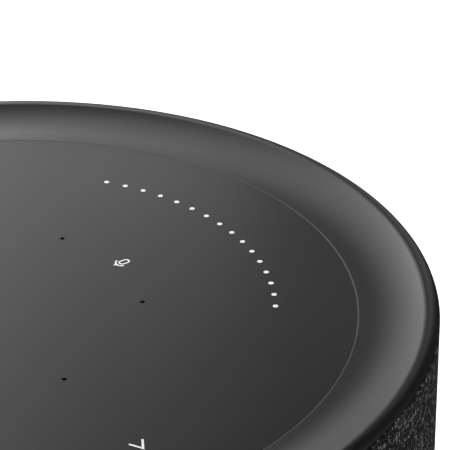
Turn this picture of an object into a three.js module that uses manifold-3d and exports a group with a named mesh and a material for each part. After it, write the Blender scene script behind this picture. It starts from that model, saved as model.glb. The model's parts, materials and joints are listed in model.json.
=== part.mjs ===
// A smart home hub: a squat round loudspeaker and radio hub under a touch panel.
// The touch panel sits in a dished rim; a knitted sleeve covers the side down to the plinth.
// Millimetres, +Z up. The origin is the centre of the foot ring's underside.
// +Y is the back, where the power inlet is, -Y faces the user and +X is the user's right.

import * as THREE from 'three';
import { mergeVertices } from 'three/addons/utils/BufferGeometryUtils.js';
import Module from 'manifold-3d';

const wasm = await Module();
wasm.setup();

// ---------------------------------------------------------------- driving dimensions

const BODY_H = 130; // foot to the crest of the rim
const PANEL_R = 75; // touch panel
const PANEL_T = 2;
const PANEL_GAP = 0.15; // open joint round the panel
const RIM_W = 16.25; // from the panel's joint to the widest circle of the rim's round edge
const LAND_W = 1.35; // flat part of the rim beside the panel
const ROLL_R = 2.4; // round outer edge of the rim
const LIP_RISE = 1; // from the middle of that round up to its underside
const RISE_ANGLE = THREE.MathUtils.degToRad(27); // steepest slope of the dished rim
const RIM_WALL = 2.4;
const LEDGE_W = 4.5; // shelf of the rim that carries the panel
const LEDGE_T = 2;
const SPIGOT_H = 9; // rim's inner skirt, below the panel's top

const LED_COUNT = 16;
const LED_PITCH = THREE.MathUtils.degToRad(4.5);
const LED_INSET = 16.4; // from the panel's edge to the arc of lights
const LED_R = 0.55; // light pin
const MIC_COUNT = 6;
const MIC_RING = 31.9;
const MIC_HOLE_R = 0.5;

const SLEEVE_T = 1; // knitted fabric
const SLEEVE_INSET = 0.1; // fabric inside that widest circle
const CAGE_T = 1.8;
const CAGE_SLOTS = 24;
const CAGE_SLOT_W = 7;
const LEAD_SPACE = 4.2; // between the speaker enclosure and the cage
const ENCLOSURE_WALL = 2.5;

const PLINTH_WALL = 2.5;
const NECK_H = 2.5; // collar of the plinth inside the cage
const PLATE_T = 3;
const FOOT_INSET = 16; // from the plinth's outside to the middle of the foot ring
const FOOT_W = 8;
const FOOT_H = 3;
const FOOT_PROUD = 1.6; // the plinth's clearance over the table

const SOUND_GAP = 16; // open space between the plinth and the enclosure
const WOOFER_R = 57; // flange
const WOOFER_OPENING = 50; // outside of the basket where it passes the enclosure's floor
const SURROUND_W = 6.5; // half-round roll between the basket and the cone
const BASKET_T = 2.2;
const COIL_R = 13.3;
const CONE_DEPTH = 13;
const WOOFER_TRAVEL = 3; // each way
const MAGNET_R = 36;
const MAGNET_T = 9;
const TWEETER_FLANGE_R = 16;
const TWEETER_R = 13;
const DOME_R = 9.5;

const BOARD_T = 1.6;
const ELECTRONICS_H = 14.5; // from the enclosure's lid to the tray
const LID_T = 2.5;
const TRAY_T = 2;
const TRAY_DROP = 8.5; // tray's top below the panel's top

const INLET_W = 20.6;
const INLET_H = 11.6;
const INLET_DEPTH = 17;
const INLET_WALL = 2.1;
const INLET_COVER = 0.9; // plinth's wall over the inlet
const PIN_R = 1.2;
const PIN_SPACING = 8.6;
const BUTTON_R = 3;
const BUTTON_TRAVEL = 0.8;

const FIT = 0.3; // gap between pieces that touch or slide
const RING_SIDES = 48; // facets of the large rings
const DRIVER_SIDES = 20; // facets of the woofer and the smaller round pieces
const TWEETER_SIDES = 16;
const HOLE_SIDES = 8;
const MERGE_TOLERANCE = 1e-4;
const QUARTER = Math.PI / 2;
const TURN = Math.PI * 2;

// ---------------------------------------------------------------- sizes that follow

const bodyR = PANEL_R + PANEL_GAP + RIM_W;
const rimInnerR = PANEL_R + PANEL_GAP;
const landR = rimInnerR + LAND_W;
const rollR = bodyR - ROLL_R; // where the roll is centred
const tangentR = rollR - ROLL_R * Math.sin(RISE_ANGLE);
const dishR = (tangentR - landR) / Math.sin(RISE_ANGLE);
const rollRise = dishR * (1 - Math.cos(RISE_ANGLE)) - ROLL_R * Math.cos(RISE_ANGLE);
const panelZ = BODY_H - rollRise - ROLL_R;
const panelLow = panelZ - PANEL_T;
const ledgeZ = panelLow - FIT;
const ledgeInR = rimInnerR - LEDGE_W;
const ledgeLow = ledgeZ - LEDGE_T;
const lipZ = panelZ + rollRise + LIP_RISE; // underside of the rim's lip over the fabric
const lipAngle = Math.asin(LIP_RISE / ROLL_R);

const sleeveOutR = bodyR - SLEEVE_INSET;
const sleeveInR = sleeveOutR - SLEEVE_T;
const cageOutR = sleeveInR - FIT;
const cageInR = cageOutR - CAGE_T;
const spigotInR = cageOutR - RIM_WALL;
const spigotLow = panelZ - SPIGOT_H;
const enclosureR = cageInR - LEAD_SPACE;

const trayTop = panelZ - TRAY_DROP;
const trayLow = trayTop - TRAY_T;
const trayR = spigotInR - FIT;
const lidTop = trayLow - ELECTRONICS_H;
const lidLow = lidTop - LID_T;
const enclosureTop = lidLow - FIT;

const plateLow = FOOT_PROUD;
const plateTop = plateLow + PLATE_T;
const plinthR = cageOutR;
const inletZ = plateTop + FIT * 2 + INLET_H / 2;
const plinthTop = inletZ + INLET_H / 2 + FIT + INLET_COVER; // the fabric's lower edge is just above
const plinthInR = plinthR - PLINTH_WALL;
const neckR = cageInR - FIT;
const footRing = plinthR - FOOT_INSET;
const deckZ = plinthTop + NECK_H;
const floorLow = deckZ + SOUND_GAP; // underside of the enclosure's floor
const floorTop = floorLow + ENCLOSURE_WALL;
const coneR = WOOFER_OPENING - BASKET_T - SURROUND_W - FIT * 2;
const ledRing = PANEL_R - LED_INSET;

// ---------------------------------------------------------------- helpers

const hub = new THREE.Group();

const FINISHES = {
  blackPlastic: { color: 0x1b1b1c, roughness: 0.42, metalness: 0 },
  darkPlastic: { color: 0x232325, roughness: 0.6, metalness: 0 },
  fabric: { color: 0x303033, roughness: 0.95, metalness: 0 },
  silicone: { color: 0x18181a, roughness: 0.85, metalness: 0 },
  clearPlastic: { color: 0xf2f2ee, roughness: 0.2, metalness: 0 },
  film: { color: 0x6b4a22, roughness: 0.4, metalness: 0 },
  board: { color: 0x123322, roughness: 0.5, metalness: 0 },
  tinPlate: { color: 0xb9bbbd, roughness: 0.3, metalness: 1 },
  aluminium: { color: 0xa9acb0, roughness: 0.4, metalness: 1 },
  steel: { color: 0x6f7276, roughness: 0.35, metalness: 1 },
  ferrite: { color: 0x2a2b2d, roughness: 0.7, metalness: 0.2 },
  brass: { color: 0xc9a24b, roughness: 0.3, metalness: 1 },
  paper: { color: 0x1d1d1f, roughness: 0.9, metalness: 0 },
};

// Adds one named piece, with a material of its own, to a group.
function piece(name, geometry, finish, parent = hub) {
  const mesh = new THREE.Mesh(geometry, new THREE.MeshStandardMaterial(FINISHES[finish]));
  mesh.name = name;
  parent.add(mesh);
  return mesh;
}

// A body of revolution about Z. The outline starts on the axis or closes on itself.
function turned(points, sides = RING_SIDES) {
  const outline = points.map(([radius, height]) => new THREE.Vector2(radius, height));
  if (points[0][0] > 0) outline.push(outline[0].clone());
  if (THREE.ShapeUtils.area(outline) < 0) outline.reverse();
  const geometry = new THREE.LatheGeometry(outline, sides);
  geometry.rotateX(QUARTER);
  return geometry;
}

// The outline of a thin skin: a line, and the same line raised by the skin's thickness.
function skin(line, thickness) {
  const back = line.map(([radius, height]) => [radius, height + thickness]);
  return [...line, ...back.reverse()];
}

// Points along an arc in an outline, both ends included.
function arc(centreR, centreZ, radius, from, to, steps) {
  const points = [];
  for (let i = 0; i <= steps; i += 1) {
    const angle = from + ((to - from) * i) / steps;
    points.push([centreR + radius * Math.cos(angle), centreZ + radius * Math.sin(angle)]);
  }
  return points;
}

function drum(radius, low, high, sides = HOLE_SIDES) {
  const geometry = new THREE.CylinderGeometry(radius, radius, high - low, sides);
  geometry.rotateX(QUARTER);
  geometry.translate(0, 0, (low + high) / 2);
  return geometry;
}

function block(width, depth, low, high) {
  const geometry = new THREE.BoxGeometry(width, depth, high - low);
  geometry.translate(0, 0, (low + high) / 2);
  return geometry;
}

function slab(outline, low, high) {
  const geometry = new THREE.ExtrudeGeometry(outline, {
    depth: high - low,
    bevelEnabled: false,
    curveSegments: 10,
  });
  geometry.translate(0, 0, low);
  return geometry;
}

// A slab bent round the origin and centred on +Y.
function sector(inner, outer, half, low, high) {
  const outline = new THREE.Shape();
  outline.absarc(0, 0, outer, QUARTER - half, QUARTER + half, false);
  outline.absarc(0, 0, inner, QUARTER + half, QUARTER - half, true);
  return slab(outline, low, high);
}

// Copies of a tool on a circle, each one turned with its place.
function around(tool, radius, angles) {
  return angles.map((angle) => {
    const copy = tool.clone();
    copy.translate(radius, 0, 0);
    copy.rotateZ(angle);
    return copy;
  });
}

function evenly(count, first) {
  return Array.from({ length: count }, (_, i) => first + (TURN * i) / count);
}

function solid(geometry) {
  const bare = geometry.clone();
  bare.deleteAttribute('normal');
  bare.deleteAttribute('uv');
  const merged = mergeVertices(bare, MERGE_TOLERANCE);
  const index = merged.index.array;
  const corners = [];
  for (let i = 0; i < index.length; i += 3) {
    const [a, b, c] = index.slice(i, i + 3);
    if (a !== b && b !== c && c !== a) corners.push(a, b, c);
  }
  return new wasm.Manifold(new wasm.Mesh({
    numProp: 3,
    vertProperties: new Float32Array(merged.attributes.position.array),
    triVerts: new Uint32Array(corners),
  }));
}

// A piece's geometry with others joined to it and then tools cut from it.
function shaped(base, joined, removed) {
  let body = solid(base);
  for (const extra of joined) body = body.add(solid(extra));
  for (const tool of removed) body = body.subtract(solid(tool));
  const mesh = body.getMesh();
  const geometry = new THREE.BufferGeometry();
  geometry.setAttribute('position', new THREE.BufferAttribute(mesh.vertProperties, 3));
  geometry.setIndex(new THREE.BufferAttribute(mesh.triVerts, 1));
  geometry.computeVertexNormals();
  return geometry;
}

// A pan-head screw on Z, its head's face at the given height and its shank above it.
function screw(headR, headH, shankR, length, headZ) {
  return turned([
    [0, headZ],
    [headR, headZ],
    [headR, headZ + headH],
    [shankR, headZ + headH],
    [shankR, headZ + headH + length],
    [0, headZ + headH + length],
  ], HOLE_SIDES);
}

// ---------------------------------------------------------------- touch panel and rim

const THIRDS = evenly(3, QUARTER / 3);
const ledHalf = (LED_PITCH * (LED_COUNT - 1)) / 2;
const ledAngles = Array.from({ length: LED_COUNT }, (_, i) => QUARTER - ledHalf + i * LED_PITCH);
const micAngles = evenly(MIC_COUNT, 0);
const PIN_SLACK = 0.1; // round each light pin
const BREAK_THROUGH = 1; // how far a cutting tool runs past a face
const ROOT = 1; // how far a boss or post runs into what it stands on

piece('touch_panel', shaped(
  drum(PANEL_R, panelLow, panelZ, RING_SIDES),
  [],
  [
    ...around(drum(LED_R + PIN_SLACK, panelLow - BREAK_THROUGH, panelZ + BREAK_THROUGH), ledRing, ledAngles),
    ...around(drum(MIC_HOLE_R, panelLow - BREAK_THROUGH, panelZ + BREAK_THROUGH), MIC_RING, micAngles),
  ],
), 'blackPlastic');

const RIM_BOSS_R = 3.2;
const RIM_SCREW_RING = ledgeInR + RIM_BOSS_R + 0.5;
const SMALL_SHANK_R = 1.1;
const SMALL_HEAD_R = 2.4;
const SMALL_HEAD_H = 1.5;
const bossLow = trayTop + FIT;
const underRimR = rollR - RIM_WALL;

piece('top_rim', shaped(
  turned([
    [rimInnerR, panelZ],
    [rimInnerR, ledgeZ],
    [ledgeInR, ledgeZ],
    [ledgeInR, ledgeLow],
    [landR, ledgeLow],
    [(landR + underRimR) / 2, ledgeLow + RIM_WALL / 4],
    [spigotInR, panelZ - RIM_WALL / 2],
    [spigotInR, spigotLow],
    [cageOutR, spigotLow],
    [cageOutR, lipZ],
    ...arc(rollR, panelZ + rollRise, ROLL_R, lipAngle, QUARTER + RISE_ANGLE, 6),
    ...arc(landR, panelZ + dishR, dishR, RISE_ANGLE - QUARTER, -QUARTER, 5).slice(1),
  ]),
  around(drum(RIM_BOSS_R, bossLow, ledgeLow + ROOT), RIM_SCREW_RING, THIRDS),
  around(drum(SMALL_SHANK_R + FIT, bossLow - BREAK_THROUGH, ledgeLow + ROOT / 2), RIM_SCREW_RING, THIRDS),
), 'blackPlastic');

const rimScrewLength = ledgeLow - trayLow - FIT;
around(
  screw(SMALL_HEAD_R, SMALL_HEAD_H, SMALL_SHANK_R, rimScrewLength, trayLow - FIT - SMALL_HEAD_H),
  RIM_SCREW_RING,
  THIRDS,
).forEach((geometry, i) => piece(`rim_screw_${i + 1}`, geometry, 'steel'));

// ---------------------------------------------------------------- lights, touch film, microphones

const FILM_T = 0.3;
const FILM_DROP = 0.3;
const filmTop = panelLow - FILM_DROP;
const filmLow = filmTop - FILM_T;
const FILM_MARGIN = 1.5;
const FILM_WINDOW_HALF_W = 2; // the lights shine through a bent window

piece('touch_film', shaped(
  drum(ledgeInR - FILM_MARGIN, filmLow, filmTop, RING_SIDES),
  [],
  [
    sector(
      ledRing - FILM_WINDOW_HALF_W,
      ledRing + FILM_WINDOW_HALF_W,
      ledHalf + LED_PITCH,
      filmLow - BREAK_THROUGH,
      filmTop + BREAK_THROUGH,
    ),
    ...around(drum(MIC_HOLE_R * 2, filmLow - BREAK_THROUGH, filmTop + BREAK_THROUGH), MIC_RING, micAngles),
  ],
), 'film');

const LED_BOARD_T = 1;
const LED_BOARD_HALF_W = 6;
const CHIP_W = 1.8;
const CHIP_H = 1.2;
const ledBoardLow = trayTop + FIT;
const ledBoardTop = ledBoardLow + LED_BOARD_T;
const guideLow = ledBoardTop + CHIP_H + FIT;
const GUIDE_T = 1.7;
const GUIDE_HALF_W = 1.6;
const PIN_SINK = 0.05; // the pins end this far below the panel's face

piece('led_board', shaped(
  sector(
    ledRing - LED_BOARD_HALF_W,
    ledRing + LED_BOARD_HALF_W,
    ledHalf + LED_PITCH * 1.5,
    ledBoardLow,
    ledBoardTop,
  ),
  around(block(CHIP_W, CHIP_W, ledBoardTop - ROOT / 2, ledBoardTop + CHIP_H), ledRing, ledAngles),
  [],
), 'board');

piece('led_light_guide', shaped(
  sector(ledRing - GUIDE_HALF_W, ledRing + GUIDE_HALF_W, ledHalf + LED_PITCH / 2, guideLow, guideLow + GUIDE_T),
  around(drum(LED_R, guideLow + ROOT, panelZ - PIN_SINK), ledRing, ledAngles),
  [],
), 'clearPlastic');

const SEAL_T = 1.5;
const SEAL_HALF_W = 4;
const sealTop = filmLow - FIT;
const sealLow = sealTop - SEAL_T;
const micBoardTop = sealLow - FIT;
const micBoardLow = micBoardTop - BOARD_T;
const MIC_BOARD_R = MIC_RING + 10;
const MIC_H = 1;
const MIC_L = 3.5;

piece('mic_seal_ring', shaped(
  turned([
    [MIC_RING - SEAL_HALF_W, sealLow],
    [MIC_RING + SEAL_HALF_W, sealLow],
    [MIC_RING + SEAL_HALF_W, sealTop],
    [MIC_RING - SEAL_HALF_W, sealTop],
  ], DRIVER_SIDES),
  [],
  around(drum(MIC_HOLE_R * 2, sealLow - BREAK_THROUGH, sealTop + BREAK_THROUGH), MIC_RING, micAngles),
), 'silicone');

piece('mic_board', shaped(
  drum(MIC_BOARD_R, micBoardLow, micBoardTop, DRIVER_SIDES),
  around(block(MIC_L, MIC_L, micBoardLow - MIC_H, micBoardLow + ROOT / 2), MIC_RING, micAngles),
  around(drum(MIC_HOLE_R, micBoardLow, micBoardTop + BREAK_THROUGH), MIC_RING, micAngles),
), 'board');

// ---------------------------------------------------------------- tray under the boards

const RIB_IN_R = MIC_RING + 4;
const RIB_OUT_R = RIB_IN_R + 3;
const RIBBON_W = 12;
const RIBBON_T = 0.5;
const RIBBON_Y = -MIC_RING / 2; // where the ribbon passes the tray
const RIBBON_ROOM = 2;
const ribbonSlot = block(
  RIBBON_W + RIBBON_ROOM,
  RIBBON_T + RIBBON_ROOM,
  trayLow - BREAK_THROUGH,
  trayTop + BREAK_THROUGH,
);
ribbonSlot.translate(0, RIBBON_Y, 0);

piece('top_tray', shaped(
  turned([
    [0, trayLow],
    [trayR, trayLow],
    [trayR, trayTop],
    [RIB_OUT_R, trayTop],
    [RIB_OUT_R, micBoardLow - FIT],
    [RIB_IN_R, micBoardLow - FIT],
    [RIB_IN_R, trayTop],
    [0, trayTop],
  ]),
  [],
  [
    ribbonSlot,
    ...around(drum(SMALL_SHANK_R + FIT, trayLow - BREAK_THROUGH, trayTop + BREAK_THROUGH), RIM_SCREW_RING, THIRDS),
  ],
), 'darkPlastic');

// ---------------------------------------------------------------- main board and its shields

const BOARD_POST_H = 5;
const mainLow = lidTop + BOARD_POST_H + FIT;
const mainTop = mainLow + BOARD_T;
const TRAY_POST_RING = enclosureR - 6;
const TRAY_POST_R = 3.5;
const AERIAL_ROOM = 4.5; // between the main board's edge and the tray's posts
const MAIN_R = TRAY_POST_RING - TRAY_POST_R - AERIAL_ROOM;
const CAN_H = 3;
const CAN_W = 28;
const CAN_X = 26;
const CAN_Y = -20;
const SINK_W = 40;
const SINK_BASE = 1.5;
const SINK_FINS = 8;
const SINK_FIN_W = 1.4;
const RADIO_W = 22;
const RADIO_L = 30;
const RADIO_SHIFT = 4;

const SOCKET_W = 14;
const SOCKET_D = 6;
const SOCKET_H = 2.5;
const SOCKET_REACH = 7; // beyond where the ribbon passes the tray
const CAPACITOR_R = 4;
const CAPACITOR_H = 6;
const connector = block(SOCKET_W, SOCKET_D, mainTop - ROOT / 2, mainTop + SOCKET_H);
connector.translate(0, RIBBON_Y + SOCKET_REACH, 0);
const capacitor = drum(CAPACITOR_R, mainTop - ROOT / 2, mainTop + CAPACITOR_H, DRIVER_SIDES);
capacitor.translate(-MAIN_R / 2, MAIN_R / 2, 0);

piece('main_board', shaped(
  drum(MAIN_R, mainLow, mainTop, RING_SIDES),
  [connector, capacitor],
  [],
), 'board');

const canLow = mainTop + FIT;
const processorCan = block(CAN_W, CAN_W, canLow, canLow + CAN_H);
processorCan.translate(CAN_X, CAN_Y, 0);
piece('processor_shield', processorCan, 'tinPlate');

const radioCan = block(RADIO_W, RADIO_L, canLow, canLow + CAN_H);
radioCan.translate(-CAN_X - RADIO_SHIFT, CAN_Y, 0);
piece('radio_shield', radioCan, 'tinPlate');

// The heat sink is one comb-shaped extrusion.
const sinkLow = canLow + CAN_H + FIT;
const sinkTop = trayLow - FIT * 2;
const comb = new THREE.Shape();
const finPitch = (SINK_W - SINK_FIN_W) / (SINK_FINS - 1);
comb.moveTo(-SINK_W / 2, sinkLow);
comb.lineTo(SINK_W / 2, sinkLow);
for (let fin = SINK_FINS - 1; fin >= 0; fin -= 1) {
  const left = fin * finPitch - SINK_W / 2;
  if (fin < SINK_FINS - 1) comb.lineTo(left + SINK_FIN_W, sinkLow + SINK_BASE);
  comb.lineTo(left + SINK_FIN_W, sinkTop);
  comb.lineTo(left, sinkTop);
  if (fin > 0) comb.lineTo(left, sinkLow + SINK_BASE);
}
const sinkShape = slab(comb, -SINK_W / 2, SINK_W / 2);
sinkShape.rotateX(QUARTER);
sinkShape.translate(CAN_X, CAN_Y, 0);
piece('heat_sink', sinkShape, 'aluminium');

// Aerial boards hang from the tray at the left and the right.
const ANTENNA_T = 0.8;
const ANTENNA_L = 32;
const ANTENNA_H = 8;
for (const [side, sign] of [['left', -1], ['right', 1]]) {
  const aerial = block(ANTENNA_T, ANTENNA_L, trayLow - FIT - ANTENNA_H, trayLow - FIT);
  aerial.translate(sign * TRAY_POST_RING, 0, 0);
  piece(`antenna_${side}`, aerial, 'film');
}

// A flat ribbon drops from the microphone board, through the tray, to the main board.
const ribbonTop = micBoardLow - FIT - RIBBON_T;
const ribbonLow = mainTop + SOCKET_H + FIT;
const RIBBON_REACH = 9;
const ribbonLine = new THREE.Shape();
ribbonLine.moveTo(RIBBON_Y - RIBBON_REACH, ribbonTop);
ribbonLine.lineTo(RIBBON_Y + RIBBON_T, ribbonTop);
ribbonLine.lineTo(RIBBON_Y + RIBBON_T, ribbonLow + RIBBON_T);
ribbonLine.lineTo(RIBBON_Y + RIBBON_REACH, ribbonLow + RIBBON_T);
ribbonLine.lineTo(RIBBON_Y + RIBBON_REACH, ribbonLow);
ribbonLine.lineTo(RIBBON_Y, ribbonLow);
ribbonLine.lineTo(RIBBON_Y, ribbonTop - RIBBON_T);
ribbonLine.lineTo(RIBBON_Y - RIBBON_REACH, ribbonTop - RIBBON_T);
const ribbon = slab(ribbonLine, -RIBBON_W / 2, RIBBON_W / 2);
ribbon.rotateX(QUARTER);
ribbon.rotateZ(QUARTER);
piece('ribbon_cable', ribbon, 'film');

// ---------------------------------------------------------------- speaker enclosure and its lid

const BOARD_POST_R = 3;
const BOARD_POST_RING = MAIN_R - 6;
const OFFSET_THIRDS = evenly(3, -QUARTER);

piece('enclosure_lid', shaped(
  drum(enclosureR, lidLow, lidTop, RING_SIDES),
  [
    ...around(drum(BOARD_POST_R, lidTop - ROOT, lidTop + BOARD_POST_H), BOARD_POST_RING, OFFSET_THIRDS),
    ...around(drum(TRAY_POST_R, lidTop - ROOT, trayLow - FIT), TRAY_POST_RING, evenly(3, QUARTER)),
  ],
  [],
), 'darkPlastic');

const PAD_MARGIN = 2;
const PAD_DROP = 1.2; // pad's top below the enclosure's
const tweeterZ = enclosureTop - TWEETER_FLANGE_R - PAD_MARGIN - PAD_DROP;
const PAD_SINK = 1.5;
const padR = enclosureR - PAD_SINK; // flat pads sunk in the wall carry the tweeters
const PAD_DEPTH = 7;
const TWEETER_DEPTH = 22;
const tweeterAngles = evenly(3, -QUARTER);

// A tool on local +X, for the side of the enclosure.
function sideways(geometry, height) {
  geometry.rotateY(QUARTER);
  geometry.translate(0, 0, height);
  return geometry;
}

piece('speaker_enclosure', shaped(
  turned([
    [WOOFER_OPENING + FIT, floorLow],
    [enclosureR, floorLow],
    [enclosureR, enclosureTop],
    [enclosureR - ENCLOSURE_WALL, enclosureTop],
    [enclosureR - ENCLOSURE_WALL, floorTop],
    [WOOFER_OPENING + FIT, floorTop],
  ]),
  around(
    sideways(drum(TWEETER_FLANGE_R + PAD_MARGIN, padR - PAD_DEPTH, padR + PAD_SINK / 2, TWEETER_SIDES), tweeterZ),
    0,
    tweeterAngles,
  ),
  [
    ...around(
      sideways(drum(TWEETER_FLANGE_R + FIT * 2, padR, padR + PAD_DEPTH, TWEETER_SIDES), tweeterZ),
      0,
      tweeterAngles,
    ),
    ...around(
      sideways(drum(TWEETER_R + FIT, padR - PAD_DEPTH * 2, padR + 1, TWEETER_SIDES), tweeterZ),
      0,
      tweeterAngles,
    ),
  ],
), 'darkPlastic');

// ---------------------------------------------------------------- woofer, facing down

const FLANGE_T = 2.5;
const flangeTop = floorLow - FIT;
const flangeLow = flangeTop - FLANGE_T;
const CONE_SKIN = 1.1;
const CONE_RECESS = 2.5; // the cone's edge above the basket's face
const coneLow = flangeLow + CONE_RECESS;
const coneTop = coneLow + CONE_DEPTH;
const backR = MAGNET_R - 2; // the basket's rear ring
const NECK_ROOM = 6; // the spider's, over the cone at full travel
const basketTop = coneTop + WOOFER_TRAVEL + NECK_ROOM;
const THROAT_ROOM = 2.7;
const throatR = COIL_R + THROAT_ROOM; // hole in the basket's rear ring
const COIL_ROOM = 0.8;
const gapR = COIL_R + COIL_ROOM; // hole in the top plate

const WINDOW_W = 60;
const WINDOW_D = 24;
const basketWindow = block(WINDOW_W, WINDOW_D, coneLow + 9, basketTop - BASKET_T * 2);
piece('woofer_basket', shaped(
  turned([
    [WOOFER_OPENING - BASKET_T, flangeLow],
    [WOOFER_R, flangeLow],
    [WOOFER_R, flangeTop],
    [WOOFER_OPENING, flangeTop],
    [WOOFER_OPENING, coneLow + 4],
    [backR, basketTop - BASKET_T],
    [backR, basketTop],
    [throatR, basketTop],
    [throatR, basketTop - BASKET_T],
    [backR - BASKET_T, basketTop - BASKET_T],
    [WOOFER_OPENING - BASKET_T, coneLow + 3],
  ], DRIVER_SIDES),
  [],
  around(basketWindow, WOOFER_OPENING, evenly(4, 0)),
), 'steel');

const topPlateLow = basketTop + FIT;
const TOP_PLATE_T = 4;
const magnetLow = topPlateLow + TOP_PLATE_T + FIT;
const yokeLow = magnetLow + MAGNET_T + FIT;
const YOKE_T = 4;
const POLE_R = COIL_R - 1.5;
const MAGNET_BORE_R = COIL_R + 4.7;
const COIL_WALL = 0.7;
const COIL_OVERLAP = 2; // of the coil, past the top plate

function washer(inner, outer, low, high, sides) {
  return turned([[inner, low], [outer, low], [outer, high], [inner, high]], sides);
}

piece('woofer_top_plate', washer(gapR, backR, topPlateLow, topPlateLow + TOP_PLATE_T, DRIVER_SIDES), 'steel');
piece('woofer_magnet', washer(MAGNET_BORE_R, MAGNET_R, magnetLow, magnetLow + MAGNET_T, DRIVER_SIDES), 'ferrite');
piece('woofer_yoke', turned([
  [0, topPlateLow],
  [POLE_R, topPlateLow],
  [POLE_R, yokeLow],
  [backR, yokeLow],
  [backR, yokeLow + YOKE_T],
  [0, yokeLow + YOKE_T],
], DRIVER_SIDES), 'steel');

const coneNeckR = COIL_R + FIT;
piece('woofer_cone', turned(skin([
  [coneNeckR, coneTop],
  [coneNeckR + (coneR - coneNeckR) * 0.35, coneTop - CONE_DEPTH * 0.48],
  [coneNeckR + (coneR - coneNeckR) * 0.7, coneTop - CONE_DEPTH * 0.82],
  [coneR, coneLow],
], CONE_SKIN), DRIVER_SIDES), 'paper');

const CAP_SKIN = 0.8;
const CAP_RISE = 4;
const capR = COIL_R - FIT;
const capEdge = coneTop - 2;
piece('woofer_dust_cap', turned(skin([
  [0, capEdge - CAP_RISE],
  [capR * 0.45, capEdge - CAP_RISE * 0.8],
  [capR * 0.8, capEdge - CAP_RISE * 0.36],
  [capR, capEdge],
], CAP_SKIN), DRIVER_SIDES), 'paper');

const coilLow = capEdge + CAP_SKIN + FIT;
piece('woofer_voice_coil', washer(
  COIL_R - COIL_WALL,
  COIL_R,
  coilLow,
  magnetLow + COIL_OVERLAP,
  DRIVER_SIDES,
), 'brass');

// The surround is one half-round roll between the cone and the basket.
const rollMid = coneR + FIT + SURROUND_W / 2;
const SURROUND_SKIN = 0.8;
const SURROUND_HEIGHT = 3.2;
piece('woofer_surround', turned(skin([
  [coneR + FIT, coneLow],
  [rollMid - SURROUND_W * 0.3, coneLow - SURROUND_HEIGHT * 0.75],
  [rollMid, coneLow - SURROUND_HEIGHT],
  [rollMid + SURROUND_W * 0.3, coneLow - SURROUND_HEIGHT * 0.75],
  [rollMid + SURROUND_W / 2, coneLow],
], SURROUND_SKIN), DRIVER_SIDES), 'silicone');

// The spider is a corrugated ring between the coil and the basket, above the cone at full travel.
const spiderZ = coneTop + CONE_SKIN + WOOFER_TRAVEL + FIT;
const slope = (WOOFER_OPENING - backR) / (basketTop - BASKET_T - coneLow - 4);
const spiderR = WOOFER_OPENING - BASKET_T - slope * (spiderZ - coneLow - 3) - FIT * 3;
const SPIDER_WAVE = 0.8;
const SPIDER_STEPS = 4;
const spiderLine = [];
for (let i = 0; i <= SPIDER_STEPS; i += 1) {
  const radius = coneNeckR + ((spiderR - coneNeckR) * i) / SPIDER_STEPS;
  spiderLine.push([radius, spiderZ + (i % 2) * SPIDER_WAVE]);
}
piece('woofer_spider', turned(skin(spiderLine, CAP_SKIN), DRIVER_SIDES), 'fabric');

// ---------------------------------------------------------------- three tweeters round the side

const flangeBase = padR + FIT;
const FLANGE_LIP = 1.8;
const TWEETER_MAGNET_T = 10;
const DOME_RECESS = 4;
const DOME_ROOM = 0.5;
const tweeterBack = padR - TWEETER_DEPTH + TWEETER_MAGNET_T;
const domeEdge = padR - DOME_RECESS;
const domeInR = DOME_R + DOME_ROOM;
const DOME_SKIN = 0.6;
const DOME_RISE = 3;

tweeterAngles.forEach((angle, i) => {
  const tweeter = new THREE.Group();
  tweeter.rotation.z = angle;
  hub.add(tweeter);
  piece(`tweeter_frame_${i + 1}`, sideways(turned([
    [domeInR, tweeterBack],
    [TWEETER_R, tweeterBack],
    [TWEETER_R, flangeBase],
    [TWEETER_FLANGE_R, flangeBase],
    [TWEETER_FLANGE_R, flangeBase + FLANGE_LIP],
    [domeInR, flangeBase + FLANGE_LIP],
  ], TWEETER_SIDES), tweeterZ), 'darkPlastic', tweeter);
  piece(`tweeter_magnet_${i + 1}`, sideways(
    drum(TWEETER_R - 2, padR - TWEETER_DEPTH, tweeterBack - FIT, TWEETER_SIDES),
    tweeterZ,
  ), 'ferrite', tweeter);
  piece(`tweeter_dome_${i + 1}`, sideways(turned(skin([
    [0, domeEdge + DOME_RISE],
    [DOME_R * 0.5, domeEdge + DOME_RISE * 0.82],
    [DOME_R * 0.85, domeEdge + DOME_RISE * 0.35],
    [DOME_R, domeEdge],
  ], DOME_SKIN), TWEETER_SIDES), tweeterZ), 'fabric', tweeter);
});

// ---------------------------------------------------------------- cage and knitted sleeve

const cageLow = plinthTop + FIT;
const cageTop = spigotLow - FIT;
const SLOT_MARGIN = 7;
const cageSlot = block(CAGE_T * 4, CAGE_SLOT_W, cageLow + SLOT_MARGIN, cageTop - SLOT_MARGIN);

piece('grille_cage', shaped(
  washer(cageInR, cageOutR, cageLow, cageTop, RING_SIDES),
  [],
  around(cageSlot, cageInR + CAGE_T / 2, evenly(CAGE_SLOTS, TURN / CAGE_SLOTS / 2)),
), 'darkPlastic');

const HEM_TUCK = 0.4; // the fabric's edges are drawn in
piece('fabric_sleeve', turned([
  [sleeveInR, cageLow],
  [sleeveOutR - HEM_TUCK, cageLow],
  [sleeveOutR, cageLow + HEM_TUCK * 2],
  [sleeveOutR, lipZ - FIT],
  [sleeveInR, lipZ - FIT],
]), 'fabric');

// ---------------------------------------------------------------- plinth, base plate and foot

const BUTTON_ANGLE = QUARTER + THREE.MathUtils.degToRad(22);
const SCREW_INSET = 6; // from the foot ring's inner edge
const BASE_SCREW_RING = footRing - FOOT_W / 2 - SCREW_INSET;
const BASE_BOSS_R = 4;
const BIG_SHANK_R = 1.4;
const BIG_HEAD_R = 3;
const BIG_HEAD_H = 2;
const PLINTH_CHAMFER = 1;
const baseBossLow = plateTop + FIT;

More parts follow.
